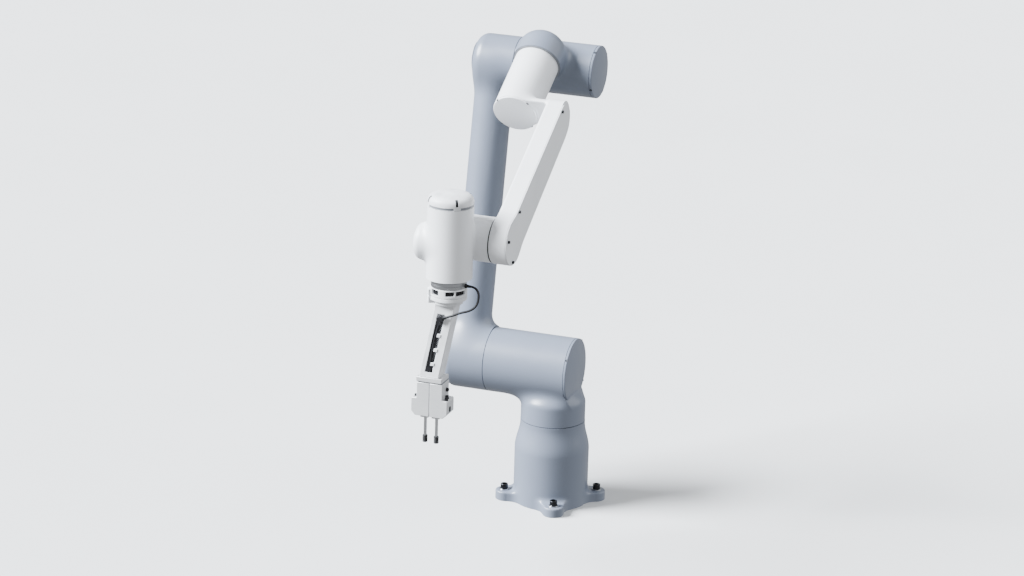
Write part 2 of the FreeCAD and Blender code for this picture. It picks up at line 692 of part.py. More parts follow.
# ---------------------------------------------------------------- wrist
def make_wrist():
    body = new_body("wrist_housing", wrist_frame)
    seam = "fore_side + link_inner - seam_half"
    bar(body, "XY_Plane", "0", "-tool_offset", "limb_radius", "-wrist_bottom", "wrist_top")
    bar(body, "YZ_Plane", "0", "0", "limb_radius - 1", "-20", seam)
    bar(body, "YZ_Plane", "-tool_offset", "0", "button_radius", "-button_reach + 9", "0")
    bar(body, "XY_Plane", "0", "-tool_offset", "limb_radius - wall", "-wrist_bottom - 1", "wrist_top + 1",
        True)
    bar(body, "YZ_Plane", "0", "0", "limb_radius - wall - 1", "-12", f"{seam} - 8", True)
    bar(body, "YZ_Plane", "-tool_offset", "0", "button_radius - 5", "-button_reach + 5", "-20", True)
    bar(body, "YZ_Plane", "0", "0", "limb_bore - fit_gap", f"{seam} - 1", f"{seam} + spigot_length")
    bar(body, "YZ_Plane", "0", "0", "limb_bore - spigot_wall", f"{seam} - 10",
        f"{seam} + spigot_length + 1", True)
    keep(body)
    side = frame(tool_centre, NORTH, WEST)
    keep(turned("wrist_side_cap", side, [
        ("0", "button_reach - 9"), ("button_radius", "button_reach - 9"),
        ("button_radius", "button_reach - 6"),
        ("0", "button_reach", "dome")]))
    top = "wrist_top"
    body = new_body("wrist_top_cap", tool_frame)
    revolve(body, [("0", f"{top} + 1"), ("limb_radius - wall - 5", f"{top} + 1"),
                   ("limb_radius - wall - 5", f"{top} - 6"), ("limb_radius - wall - 0.1", f"{top} - 6"),
                   ("limb_radius - wall - 0.1", f"{top} + 4"), ("limb_radius", f"{top} + 4"),
                   ("limb_radius", f"{top} + 17"), ("limb_radius - 4", f"{top} + 24"),
                   ("0", f"{top} + 30", "dome")])
    keep(body)
    keep(turned("wrist_light_ring", tool_frame, [
        ("limb_radius - wall", f"{top}"), ("limb_radius - 1.2", f"{top}"),
        ("limb_radius - 1.2", f"{top} + 4"), ("limb_radius - wall", f"{top} + 4")]))
    flip = frame(tool_centre, EAST, DOWN)
    keep(turned("tool_gearbox", flip, [
        ("limb_bore", "wrist_bottom - 2"), ("limb_radius - wall - 0.1", "wrist_bottom - 2"),
        ("limb_radius - wall - 0.1", "wrist_bottom - 26"), ("limb_bore", "wrist_bottom - 26")]))
    keep(turned("tool_motor", flip, [
        ("12", "wrist_bottom - 30"), ("limb_radius - wall - 8", "wrist_bottom - 30"),
        ("limb_radius - wall - 8", "wrist_bottom - 56"), ("limb_radius - wall - 18", "wrist_bottom - 56"),
        ("limb_radius - wall - 18", "wrist_bottom - 86"), ("12", "wrist_bottom - 86")]))


# ---------------------------------------------------------------- tool
def make_tool():
    face = "-wrist_bottom"
    flange_low = "-wrist_bottom - flange_thick"
    adapter_low = "-wrist_bottom - flange_thick - adapter_thick"
    body = new_body("tool_flange", tool_frame)
    revolve(body, [("14", flange_low), ("flange_radius", flange_low), ("flange_radius", f"{face} - 10"),
                   ("flange_radius - 3", f"{face} - 9"), ("flange_radius - 3", f"{face} - seam_half"),
                   ("limb_bore - fit_gap", f"{face} - seam_half"),
                   ("limb_bore - fit_gap", f"{face} + spigot_length"),
                   ("14", f"{face} + spigot_length")])
    keep(body)

    body = new_body("tool_adapter", tool_frame)
    revolve(body, [("14", adapter_low), ("adapter_radius", adapter_low),
                   ("adapter_radius", f"{adapter_low} + 12"),
                   ("adapter_radius - 3", f"{adapter_low} + 12"), ("adapter_radius - 3", flange_low),
                   ("14", flange_low)])
    block(body, "XY_Plane", ("-49", "-11", "-30", "11"), f"{adapter_low} + 3", f"{flange_low} - 3")
    bores(body, "YZ_Plane", [("0", f"{adapter_low} + 20")], "5", "-50", "-44")
    bores(body, "XZ_Plane", [("9", f"{adapter_low} + 21"), ("23", f"{adapter_low} + 21")], "4", "26", "40")
    keep(body)

    plug = new_body("flange_socket", tool_frame)
    bar(plug, "YZ_Plane", "0", f"{face} - 16", "5.5", "flange_radius - 1",
        "flange_radius + socket_reach - 0.3")
    keep(plug)
    body = doc.getObject("tool_flange")
    bar(body, "YZ_Plane", "0", f"{face} - 16", "5.6", "flange_radius - 1", "flange_radius + 5", True)

    tilt = math.degrees(math.atan2(SIZES["column_shift"], SIZES["column_drop"]))
    column_place = moved(tool_frame, z=value(adapter_low)).multiply(Placement(Vector(),
                                                                              Rotation(NORTH, tilt)))
    length = "sqrt(column_shift ^ 2 + column_drop ^ 2)"
    body = new_body("bracket_column", column_place)
    block(body, "XY_Plane", ("-column_wide / 2", "-column_deep / 2", "column_wide / 2", "column_deep / 2"),
          f"-({length}) - 12", "12")
    block(body, "XY_Plane", ("-slot_wide / 2 - 4", "-column_deep / 2 - 1", "slot_wide / 2 - 4",
                             "-column_deep / 2 + slot_deep"), f"-({length}) + 14", "-22", True)
    span = doc.addObject("Part::Box", "column_span")
    for side in ("Length", "Width"):
        setattr(span, side, 200)
    bind(span, "Height", "column_drop")
    span.Placement = moved(tool_frame, x=-100, y=-100, z=value(adapter_low) - SIZES["column_drop"])
    column = doc.addObject("Part::Common", "gripper_bracket")
    column.Base = body
    column.Tool = span
    keep(column, "gripper_bracket")

    group = []
    for number in range(4):
        piece = doc.addObject("Part::Box", f"lead_piece_{number}")
        bind(piece, "Length", "slot_wide - 3")
        bind(piece, "Width", "slot_deep - 5")
        piece.Height = 26
        piece.Placement = moved(column_place, x=-SIZES["slot_wide"] / 2 - 2.5,
                                y=-SIZES["column_deep"] / 2 + 4.8, z=-54 - 31.5 * number)
        group.append(piece)
    bundle = doc.addObject("Part::Compound", "bracket_leads")
    bundle.Links = group
    keep(bundle, "bracket_leads")
    make_gripper(value(adapter_low) - SIZES["column_drop"])
    make_lead(column_place)


def make_gripper(top):
    """Body and jaws of the gripper, hung at a height of the tool frame."""
    grip_frame = moved(tool_frame, x=-SIZES["column_shift"], z=top)
    plate = new_body("gripper_plate", grip_frame)
    block(plate, "XY_Plane", ("-0.4 * grip_wide", "-0.54 * grip_deep", "0.4 * grip_wide",
                              "0.54 * grip_deep"),
          "-plate_thick", "0")
    keep(plate)
    body = new_body("gripper_body", grip_frame)
    low = "-plate_thick - grip_height"
    sketch = new_sketch(body, "XZ_Plane", "-grip_deep / 2")
    outline(sketch, [
        ("-grip_wide / 2", "-plate_thick"), ("-grip_wide / 2", f"{low} + foot_height"),
        ("-foot_wide / 2", f"{low} + foot_height - 4"), ("-foot_wide / 2", f"{low} + 10"),
        ("-foot_wide / 2 + 12", low), ("foot_wide / 2 - 12", low), ("foot_wide / 2", f"{low} + 10"),
        ("foot_wide / 2", f"{low} + foot_height - 4"), ("grip_wide / 2", f"{low} + foot_height"),
        ("grip_wide / 2", "-plate_thick")])
    extrude(body, sketch, "grip_deep")
    block(body, "XY_Plane", ("-foot_wide / 2 + 14", "-9", "foot_wide / 2 - 14", "9"), f"{low} - 1",
          f"{low} + 14",
          True)
    bores(body, "XZ_Plane", [("grip_wide / 2 - 12", "-plate_thick - 20"),
                             ("grip_wide / 2 - 12", f"{low} + 30"),
                             ("grip_wide / 2 + 2", f"{low} + 30")], "4", "grip_deep / 2 - 6",
                             "grip_deep / 2 + 1")
    keep(body)
    group = []
    for number, (x, z) in enumerate((("grip_wide / 2 - 12", "-plate_thick - 20"),
                                     ("grip_wide / 2 - 12", f"{low} + 30"),
                                     ("grip_wide / 2 + 2", f"{low} + 30"))):
        port = doc.addObject("Part::Cylinder", f"port_{number}")
        port.Radius = 3.9
        port.Height = 9
        port.Placement = grip_frame.multiply(Placement(
            Vector(value(x), -value("grip_deep / 2 - 6"), value(z)), Rotation(EAST, 90)))
        group.append(port)
    bundle = doc.addObject("Part::Compound", "gripper_ports")
    bundle.Links = group
    keep(bundle, "gripper_ports")
    for side, name in ((-1, "left"), (1, "right")):
        jaw = new_body("jaw_" + name, grip_frame)
        inner = f"{side} * jaw_pitch / 2"
        block(jaw, "XY_Plane", (f"{inner} - 9", "-8.7", f"{inner} + 9", "8.7"), f"{low} - 6",
              f"{low} + 13.7")
        bar(jaw, "XY_Plane", inner, "0", "rod_radius", f"{low} - 6 - rod_length", f"{low} - 5")
        keep(jaw)
        tip = new_body("fingertip_" + name, grip_frame)
        bar(tip, "XY_Plane", inner, "0", "rod_radius + 2.4", f"{low} - rod_length - tip_height + 8",
            f"{low} - rod_length + 8")
        bar(tip, "XY_Plane", inner, "0", "rod_radius + 0.02", f"{low} - 6 - rod_length",
            f"{low} - rod_length + 9",
            True)
        keep(tip)


def make_lead(column_place):
    """The free black lead from the flange's side socket to the plug on the bracket."""
    start = tool_centre + Vector(SIZES["flange_radius"] + SIZES["socket_reach"], 0,
                                 -SIZES["wrist_bottom"] - 16)
    plug_centre = column_place.multVec(Vector(-1, -SIZES["column_deep"] / 2 - 1, -32))
    plug_turn = column_place.Rotation.multiply(Rotation(NORTH, -SIZES["plug_turn"]))
    exit_way = plug_turn.multVec(Vector(1, 0, 0))
    plug_mouth = plug_centre + exit_way * 13 + Vector(0, -4.5, 0)
    route = [start, start + Vector(14, 0, 1), start + Vector(27, -4, -8), start + Vector(30, -10, -24),
             start + Vector(26, -16, -40), start + Vector(13, -22, -50), start + Vector(-6, -26, -55),
             plug_mouth + exit_way * 14, plug_mouth]
    keep(rounded_tube("tool_lead", route, SIZES["lead_radius"]))
    plug = doc.addObject("Part::Box", "lead_plug")
    plug.Length = 22
    plug.Width = 11
    plug.Height = 13
    plug.Placement = Placement(plug_centre, plug_turn).multiply(
        Placement(Vector(-9, -10, -6.5), Rotation()))
    keep(plug, "lead_plug")


def rounded_tube(name, route, radius):
    """A round tube along straight runs joined by tangent arcs, each as large as its two runs allow."""
    edges = []
    reached = route[0]
    for before, corner, after in zip(route, route[1:], route[2:]):
        come = (corner - before).normalize()
        leave = (after - corner).normalize()
        turn = come.getAngle(leave)
        shorter = min((corner - before).Length, (after - corner).Length)
        cut_back = 0.45 * shorter
        bend = cut_back / math.tan(turn / 2)
        first = corner - come * cut_back
        last = corner + leave * cut_back
        inward = (leave - come).normalize()
        centre = corner + inward * math.hypot(bend, cut_back)
        middle = centre + (corner - centre).normalize() * bend
        edges.append(Part.LineSegment(reached, first).toShape())
        edges.append(Part.Arc(first, middle, last).toShape())
        print(f"{name}: bend radius {bend:.1f}")
        reached = last
    edges.append(Part.LineSegment(reached, route[-1]).toShape())
    path = Part.Wire(edges)
    section = Part.Wire(Part.makeCircle(radius, route[0], route[1] - route[0]))
    tube = path.makePipeShell([section], True, True)
    print(f"{name}: length {path.Length:.1f}, volume {tube.Volume:.0f}, "
          f"section times length {math.pi * radius ** 2 * path.Length:.0f}")
    feature = doc.addObject("Part::Feature", name)
    feature.Shape = tube
    return feature


# ---------------------------------------------------------------- build, check and write
def main():
    make_base()
    make_shoulder()
    make_upper_arm()
    make_elbow()
    make_forearm()
    make_wrist()
    make_tool()
    doc.recompute()
    for item in doc.Objects:
        if "Invalid" in item.State or "Error" in item.State:
            raise RuntimeError(f"{item.Label} failed: {item.State}")
    os.makedirs("parts", exist_ok=True)
    for item in parts:
        shape = item.Shape
        if shape.isNull() or not shape.isValid() or not shape.Solids:
            raise RuntimeError(item.Label + " has no valid solid")
        shape.exportStep(f"parts/{item.Label}.step")
        print(f"{item.Label}: {len(shape.Solids)} solids, {shape.Volume / 1000:.1f} cm3")
    print(len(parts), "sub-parts")


main()
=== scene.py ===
"""Looks of a collaborative robot arm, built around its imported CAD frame.

Metres, in the row frame: +Z up, the base's bottom face at Z = 0, the arm reaching towards -Y.
The castings are smooth solids found where a distance function is zero, so that tubes, hubs and necks
flow into each other as they do in a casting.  Turned pieces are lathe profiles.
"""
import json
import math

import bmesh
import bpy
import numpy as np
from mathutils import Matrix, Vector


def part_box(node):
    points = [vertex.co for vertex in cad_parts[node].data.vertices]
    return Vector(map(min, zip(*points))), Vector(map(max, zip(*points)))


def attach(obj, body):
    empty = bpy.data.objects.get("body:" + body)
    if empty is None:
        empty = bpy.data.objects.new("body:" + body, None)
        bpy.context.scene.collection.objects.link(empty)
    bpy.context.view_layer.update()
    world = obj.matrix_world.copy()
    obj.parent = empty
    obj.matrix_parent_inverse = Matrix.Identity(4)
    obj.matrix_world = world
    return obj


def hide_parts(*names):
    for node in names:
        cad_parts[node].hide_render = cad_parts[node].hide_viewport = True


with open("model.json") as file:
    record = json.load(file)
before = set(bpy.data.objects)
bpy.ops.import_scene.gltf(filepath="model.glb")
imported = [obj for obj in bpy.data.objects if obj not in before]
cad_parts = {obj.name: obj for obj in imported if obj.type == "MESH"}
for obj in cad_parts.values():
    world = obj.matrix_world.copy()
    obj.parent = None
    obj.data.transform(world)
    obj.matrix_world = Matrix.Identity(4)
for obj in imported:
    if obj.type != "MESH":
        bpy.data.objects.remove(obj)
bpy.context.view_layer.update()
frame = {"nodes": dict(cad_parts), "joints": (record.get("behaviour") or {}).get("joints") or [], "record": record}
MM = 0.001

# ---- places, from the frame
joints = {joint["name"]: joint for joint in frame["joints"]}
shoulder_centre = Vector(joints["shoulder_pitch"]["pos_m"])
elbow_centre = Vector(joints["elbow_pitch"]["pos_m"])
roll_centre = Vector(joints["forearm_roll"]["pos_m"])
wrist_centre = Vector(joints["wrist_pitch"]["pos_m"])
tool_centre = Vector(joints["tool_roll"]["pos_m"])
EAST = Vector((1, 0, 0))
along_upper = (elbow_centre - shoulder_centre).normalized()
along_fore = Vector(joints["forearm_roll"]["axis"]).normalized()


def axes(origin, x_axis, z_axis):
    """The matrix of a frame from its origin, its X axis and its Z axis."""
    y_axis = z_axis.cross(x_axis)
    turn = Matrix((x_axis, y_axis, z_axis)).transposed().to_4x4()
    return Matrix.Translation(origin) @ turn


ROW = Matrix.Identity(4)
SHOULDER = Matrix.Translation(shoulder_centre)
UPPER = axes(shoulder_centre, along_upper, EAST)  # X along the upper arm, Z to the right
FORE = axes(roll_centre, EAST, along_fore)  # X to the right, Y above, Z along the forearm
WRIST = Matrix.Translation(wrist_centre)
TOOL = Matrix.Translation(tool_centre)
SHOULDER_AXIS = axes(shoulder_centre, Vector((0, 1, 0)), EAST)
ELBOW_AXIS = axes(elbow_centre, along_fore, EAST)

# ---- sizes that the looks share with the CAD
SEAM = 0.8 * MM  # half of the groove at a turning seam
NECK = 77.3 * MM
ELBOW = 62.3 * MM
STUB = 58.0 * MM
LIMB = 52.0 * MM
BASE = 89.0 * MM
BASE_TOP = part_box("base_casting")[1].z
HUB_FAR = -262.0 * MM
TUBE_X = -216.2 * MM
TUBE = 45.6 * MM
UPPER_LENGTH = (elbow_centre - shoulder_centre).length
BARREL_WEST = -153.9 * MM
SHOULDER_END = 46.2 * MM


# ---- camera, light and floor
CAMERA_PLACE = Vector((2.4486, -7.2574, 3.0021))
CAMERA_AIM = Vector((-0.060, -0.150, 0.566))
CAMERA_LENS = 120
CAMERA_ROLL = math.radians(1.7)


def make_camera():
    camera = bpy.data.objects.new("camera", bpy.data.cameras.new("camera"))
    bpy.context.scene.collection.objects.link(camera)
    look = (CAMERA_AIM - CAMERA_PLACE).to_track_quat("-Z", "Y")
    camera.matrix_world = (Matrix.Translation(CAMERA_PLACE) @ look.to_matrix().to_4x4()
                           @ Matrix.Rotation(CAMERA_ROLL, 4, "Z"))
    camera.data.lens = CAMERA_LENS
    camera.data.sensor_width = 36
    camera.data.clip_end = 100
    bpy.context.scene.camera = camera


DAYLIGHT = (0.91, 0.955, 1.0)
SKY = (0.97, 0.985, 1.0)
SKY_STRENGTH = 0.56
FLOOR_GREY = (0.68, 0.685, 0.69)
FLOOR_REACH = 40
FLOOR_DROP = 0.5 * MM  # keeps the floor clear of the base's bottom face


def make_sun(name, power, spread, across, up):
    """A soft distant light from an azimuth and an elevation in degrees, azimuth 0 from the front."""
    light = bpy.data.lights.new(name, "SUN")
    light.energy = power
    light.color = DAYLIGHT
    light.angle = math.radians(spread)
    lamp = bpy.data.objects.new(name, light)
    bpy.context.scene.collection.objects.link(lamp)
    lamp.rotation_euler = (math.radians(90 - up), 0, math.radians(across))


def make_studio():
    world = bpy.data.worlds.new("studio")
    bpy.context.scene.world = world
    world.use_nodes = True
    background = world.node_tree.nodes["Background"]
    background.inputs["Color"].default_value = (*SKY, 1)
    background.inputs["Strength"].default_value = SKY_STRENGTH
    make_sun("key", power=21.5, spread=32, across=-63, up=37)
    make_sun("rim", power=1.8, spread=60, across=110, up=35)
    floor_mesh = bpy.data.meshes.new("floor")
    corners = rectangle(-FLOOR_REACH, -FLOOR_REACH, FLOOR_REACH, FLOOR_REACH)
    floor_mesh.from_pydata([(*corner, 0) for corner in corners], [], [(0, 1, 2, 3)])
    floor = bpy.data.objects.new("floor", floor_mesh)
    bpy.context.scene.collection.objects.link(floor)
    floor.location.z = -FLOOR_DROP
    floor_mesh.materials.append(plain("floor", FLOOR_GREY, 0.85))
    floor.visible_diffuse = False  # it would light the object from below
    floor.visible_glossy = False


# ---- materials
class Nodes:
    """A material's node tree, with short ways to add and join nodes."""

    def __init__(self, name):
        self.material = bpy.data.materials.new(name)
        self.material.use_nodes = True
        self.tree = self.material.node_tree
        self.shader = self.tree.nodes["Principled BSDF"]
        self.place = self.add("ShaderNodeTexCoord").outputs["Object"]

    def add(self, kind, **settings):
        node = self.tree.nodes.new(kind)
        for name, setting in settings.items():
            setattr(node, name, setting)
        return node

    def join(self, source, target):
        self.tree.links.new(source, target)

    def drive(self, name, source):
        """Join a source to one of the shader's own inputs."""
        self.join(source, self.shader.inputs[name])

    def noise(self, scale, detail=2.0, stretch=None):
        """Noise over the object's own coordinates, finer along any axis that stretch raises."""
        node = self.add("ShaderNodeTexNoise")
        node.inputs["Scale"].default_value = scale
        node.inputs["Detail"].default_value = detail
        place = self.place
        if stretch:
            mapping = self.add("ShaderNodeMapping")
            mapping.inputs["Scale"].default_value = stretch
            self.join(place, mapping.inputs["Vector"])
            place = mapping.outputs["Vector"]
        self.join(place, node.inputs["Vector"])
        return node.outputs["Fac"]

    def ramp(self, source, stops):
        node = self.add("ShaderNodeValToRGB")
        node.color_ramp.elements[0].position = stops[0][0]
        node.color_ramp.elements[0].color = (*stops[0][1], 1)
        node.color_ramp.elements[1].position = stops[-1][0]
        node.color_ramp.elements[1].color = (*stops[-1][1], 1)
        for position, colour in stops[1:-1]:
            node.color_ramp.elements.new(position).color = (*colour, 1)
        self.join(source, node.inputs["Fac"])
        return node.outputs["Color"]

    def spread(self, source, low, high):
        """The source's middle range mapped to low..high."""
        node = self.add("ShaderNodeMapRange")
        node.inputs["From Min"].default_value = 0.3
        node.inputs["From Max"].default_value = 0.7
        node.inputs["To Min"].default_value = low
        node.inputs["To Max"].default_value = high
        self.join(source, node.inputs["Value"])
        return node.outputs["Result"]

    def bump(self, source, strength, height):
        node = self.add("ShaderNodeBump")
        node.inputs["Strength"].default_value = strength
        node.inputs["Distance"].default_value = height
        self.join(source, node.inputs["Height"])
        self.drive("Normal", node.outputs["Normal"])

    def set(self, **values):
        for name, setting in values.items():
            self.shader.inputs[name.replace("_", " ")].default_value = setting
        return self


def shade(colour, factor):
    return tuple(min(1.0, part * factor) for part in colour)


def plain(name, colour, roughness):
    """A quiet surface: the colour drifts a little, and so does the gloss."""
    nodes = Nodes(name)
    drift = nodes.noise(1.3, 3)
    nodes.drive("Base Color", nodes.ramp(drift, [(0.35, shade(colour, 0.985)), (0.65, shade(colour, 1.01))]))
    nodes.drive("Roughness", nodes.spread(nodes.noise(5.0), roughness - 0.04, roughness + 0.04))
    return nodes.material


def paint(name, colour, gloss=0.36):
    """Powder coat on a casting: fine orange peel, faint tone drift, rubbed patches and specks of dust."""
    nodes = Nodes(name)
    drift = nodes.noise(7, 3)
    tone = nodes.ramp(drift, [(0.32, shade(colour, 0.965)), (0.5, colour), (0.7, shade(colour, 1.025))])
    dust = nodes.ramp(nodes.noise(420, 2), [(0.70, (0, 0, 0)), (0.80, (0.35, 0.35, 0.35))])
    mix = nodes.add("ShaderNodeMixRGB")
    nodes.join(dust, mix.inputs["Fac"])
    nodes.join(tone, mix.inputs["Color1"])
    mix.inputs["Color2"].default_value = (*shade(colour, 0.86), 1)
    nodes.drive("Base Color", mix.outputs["Color"])
    nodes.drive("Roughness", nodes.spread(nodes.noise(16, 4), gloss - 0.05, gloss + 0.07))
    nodes.bump(nodes.noise(520, 2), 0.10, 0.25 * MM)
    nodes.set(Coat_Weight=0.18, Coat_Roughness=0.28, Specular_IOR_Level=0.5)
    return nodes.material


def moulded(name, colour, roughness=0.45, grain=0.25, shine=0.5):
    """Moulded plastic or rubber with a fine spark-eroded grain."""
    nodes = Nodes(name)
    tone = nodes.ramp(nodes.noise(30, 3), [(0.3, shade(colour, 0.88)), (0.7, shade(colour, 1.12))])
    nodes.drive("Base Color", tone)
    nodes.drive("Roughness", nodes.spread(nodes.noise(60, 3), roughness - 0.08, roughness + 0.08))
    nodes.bump(nodes.noise(1500, 2), grain, 0.12 * MM)
    nodes.set(Specular_IOR_Level=shine)
    return nodes.material


def machined(name, colour, roughness=0.28, stretch=(1, 1, 60), metallic=1.0):
    """Turned or brushed metal: fine tool lines across the stretched axis, and a slightly uneven tone."""
    nodes = Nodes(name)
    lines = nodes.noise(90, 4, stretch)
    nodes.drive("Base Color", nodes.ramp(lines, [(0.3, shade(colour, 0.86)), (0.7, shade(colour, 1.06))]))
    nodes.drive("Roughness", nodes.spread(nodes.noise(25, 3), roughness - 0.07, roughness + 0.08))
    nodes.bump(lines, 0.12, 0.08 * MM)
    nodes.set(Metallic=metallic)
    return nodes.material


BLUE_GREY = (0.168, 0.193, 0.250)
WHITE = (0.800, 0.812, 0.835)
grey_paint = paint("grey_paint", BLUE_GREY)
white_paint = paint("white_paint", WHITE, 0.40)
panel_paint = paint("panel_paint", (0.075, 0.080, 0.090), 0.5)
black_plastic = moulded("black_plastic", (0.008, 0.008, 0.010), 0.5, 0.2, 0.3)
seal_rubber = moulded("seal_rubber", (0.012, 0.013, 0.015), 0.6, 0.4, 0.3)
cap_plastic = moulded("cap_plastic", (0.72, 0.73, 0.75), 0.42, 0.12)
ring_plastic = moulded("ring_plastic", (0.20, 0.21, 0.23), 0.4, 0.12)
bracket_plastic = moulded("bracket_plastic", (0.74, 0.75, 0.77), 0.5, 0.3)
lead_rubber = moulded("lead_rubber", (0.010, 0.010, 0.012), 0.5, 0.3, 0.3)
tip_rubber = moulded("tip_rubber", (0.014, 0.014, 0.015), 0.75, 0.6)
steel = machined("steel", (0.48, 0.49, 0.51))
flange_metal = machined("flange_metal", (0.46, 0.47, 0.49), 0.30)
motor_metal = machined("motor_metal", (0.50, 0.51, 0.53), 0.42)
screw_steel = machined("screw_steel", (0.035, 0.036, 0.040), 0.38, (1, 1, 1))
grip_metal = machined("grip_metal", (0.66, 0.665, 0.675), 0.40, (1, 1, 40), 0.35)
rod_steel = machined("rod_steel", (0.66, 0.67, 0.69), 0.16, (1, 1, 12))


# ---- distances
X, Z = 0, 2


def length(*parts):
    return np.sqrt(sum(part ** 2 for part in parts))


def join(first, second, blend):
    """Union whose inside corner is filled by a fillet about as large as blend."""
    near = np.maximum(blend - np.abs(first - second), 0) / blend
    return np.minimum(first, second) - near ** 2 * blend / 4


def meet(first, second, blend):
    """Intersection whose edge is rounded by about blend."""
    return -join(-first, -second, blend)


def rounded(side, ends, edge):
    """A shape bounded by two distances, with its edge rounded to a radius."""
    outside = length(np.maximum(side + edge, 0), np.maximum(ends + edge, 0))
    return outside + np.minimum(np.maximum(side, ends) + edge, 0) - edge


def drum(across, up, along, radius, low, high, edge):
    """A round bar along one coordinate, from low to high, with rounded ends."""
    ends = np.abs(along - (low + high) / 2) - (high - low) / 2
    return rounded(length(across, up) - radius, ends, edge)


def plane(axis, sign, level):
    """Distance to a plane across one coordinate: sign 1 keeps what is below it, sign -1 what is above it."""
    return lambda *spot: sign * (spot[axis] - level)


def smooth_step(value, low, high):
    share = np.clip((value - low) / (high - low), 0, 1)
    return share * share * (3 - 2 * share)


# ---- meshes
def mm_outline(spots):
    """Points given in millimetres."""
    return [(x * MM, y * MM) for x, y in spots]


def rectangle(left, low, right, high):
    return [(left, low), (right, low), (right, high), (left, high)]


def quarter_turns(first):
    """Four angles in degrees, a quarter turn apart."""
    return [first + 90 * number for number in range(4)]


def link_piece(name, mesh, material, body, slot, *replaced):
    piece = bpy.data.objects.new(name, mesh)
    bpy.context.scene.collection.objects.link(piece)
    mesh.materials.append(material)
    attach(piece, body)
    if replaced:
        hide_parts(*replaced)
    return piece


def crossing_cells(inside):
    """Which grid cells have corners both inside and outside."""
    lows = [slice(None, -1), slice(1, None)]
    corners = [inside[i, j, k] for i in lows for j in lows for k in lows]
    count = sum(corner.astype(np.int8) for corner in corners)
    return (count > 0) & (count < 8)


def slope(distance, points, small=0.02 * MM):
    """The direction in which a distance grows fastest, one row a point."""
    sides = np.eye(3) * small
    rises = [distance(points + side) - distance(points - side) for side in sides]
    return np.stack(rises, axis=1) / (2 * small)


def settle_on(distance, points, rounds):
    for _ in range(rounds):
        grade = slope(distance, points)
        steepness = np.maximum((grade ** 2).sum(axis=1), 0.2)
        points = points - (distance(points) / steepness)[:, None] * grade
    return points


def contour(distance, low, high, step, creases=()):
    """Corners and quads of the surface where a distance is zero.

    A crease is a pair of distances: where the line they share passes through a cell, the corner goes onto it.
    """
    lines = [np.arange(start - 1.5 * step, end + 1.5 * step, step) for start, end in zip(low, high)]
    grid = np.stack(np.meshgrid(*lines, indexing="ij"), axis=-1)
    field = distance(grid.reshape(-1, 3)).reshape(grid.shape[:3])
    inside = field < 0
    cells = np.argwhere(crossing_cells(inside))
    number = np.full(np.array(inside.shape) - 1, -1)
    number[tuple(cells.T)] = np.arange(len(cells))
    starts = np.array([line[0] for line in lines])
    points = starts + (cells + 0.5) * step
    centres = points.copy()
    points = settle_on(distance, points, 4)
    points = centres + np.clip(points - centres, -0.75 * step, 0.75 * step)
    points = settle_on(distance, points, 2)
    corners = np.array([(i, j, k) for i in (-1, 1) for j in (-1, 1) for k in (-1, 1)])[:, None, :] * step / 2
    for first, second in creases:
        near = np.flatnonzero((np.abs(first(centres)) < 1.5 * step) & (np.abs(second(centres)) < 1.5 * step))
        around = (centres[near] + corners).reshape(-1, 3)
        one, two = first(around).reshape(8, -1), second(around).reshape(8, -1)
        shared = ((one > 0) & (one >= two)).any(axis=0) & ((two > 0) & (two > one)).any(axis=0)
        near = near[shared]
        spots = centres[near]
        for _ in range(6):
            spots = settle_on(second, settle_on(first, spots, 1), 1)
        held = np.abs(distance(spots)) < 0.1 * step
        points[near[held]] = spots[held]
    quads = []
    for axis in range(3):
        ahead = np.roll(inside, -1, axis=axis)
        crossed = inside != ahead
        trimmed = [slice(1, -1)] * 3
        spots = np.argwhere(crossed[tuple(trimmed)]) + 1
        others = [other for other in range(3) if other != axis]
        ring = []
        for back_first, back_second in ((1, 1), (0, 1), (0, 0), (1, 0)):
            cell = spots.copy()
            cell[:, others[0]] -= back_first
            cell[:, others[1]] -= back_second
            ring.append(number[tuple(cell.T)])
        quad = np.stack(ring, axis=1)
        entering = inside[tuple(spots.T)]
        flip = entering if axis == 1 else ~entering
        quad[flip] = quad[flip][:, ::-1]
        quads.append(quad)
    return points, np.concatenate(quads)


COARSE = 2.5 * MM  # grid steps of the castings
MEDIUM = 2.2 * MM


def casting(name, shape, ends, place, low, high, step, material, body, slot, *replaced, creases=()):
    """A smooth closed piece from a distance function of x, y and z in its own frame.

    It's cut off by its ends. The edges that they leave are kept sharp, and so are the other creases given.
    """
    def measure(function):
        return lambda points: function(points[:, 0], points[:, 1], points[:, 2])

    def whole(points):
        return np.maximum.reduce([measure(part)(points) for part in (shape, *ends)])

    edges = [(shape, end) for end in ends] + list(creases)
    pairs = [(measure(first), measure(second)) for first, second in edges]
    points, quads = contour(whole, low, high, step, pairs)
    mesh = bpy.data.meshes.new(name)
    mesh.from_pydata(points.tolist(), [], quads.tolist())
    mesh.transform(place)
    piece = finish_mesh(name, mesh, material, body, slot, replaced)
    even = piece.modifiers.new("normals", "WEIGHTED_NORMAL")
    even.keep_sharp = True
    return piece


def finish_mesh(name, mesh, material, body, slot, replaced, bevel=0):
    """Outward faces, smooth shading with sharp edges kept, and a bevel on those edges if one is given."""
    work = bmesh.new()
    work.from_mesh(mesh)
    bmesh.ops.remove_doubles(work, verts=work.verts, dist=0.01 * MM)
    bmesh.ops.recalc_face_normals(work, faces=work.faces)
    work.to_mesh(mesh)
    work.free()
    mesh.polygons.foreach_set("use_smooth", [True] * len(mesh.polygons))
    mesh.set_sharp_from_angle(angle=math.radians(40))
    piece = link_piece(name, mesh, material, body, slot, *replaced)
    if bevel:
        soft = piece.modifiers.new("bevel", "BEVEL")
        soft.width = bevel
        soft.segments = 2
        soft.limit_method = "ANGLE"
        soft.angle_limit = math.radians(40)
        soft.use_clamp_overlap = True
    return piece


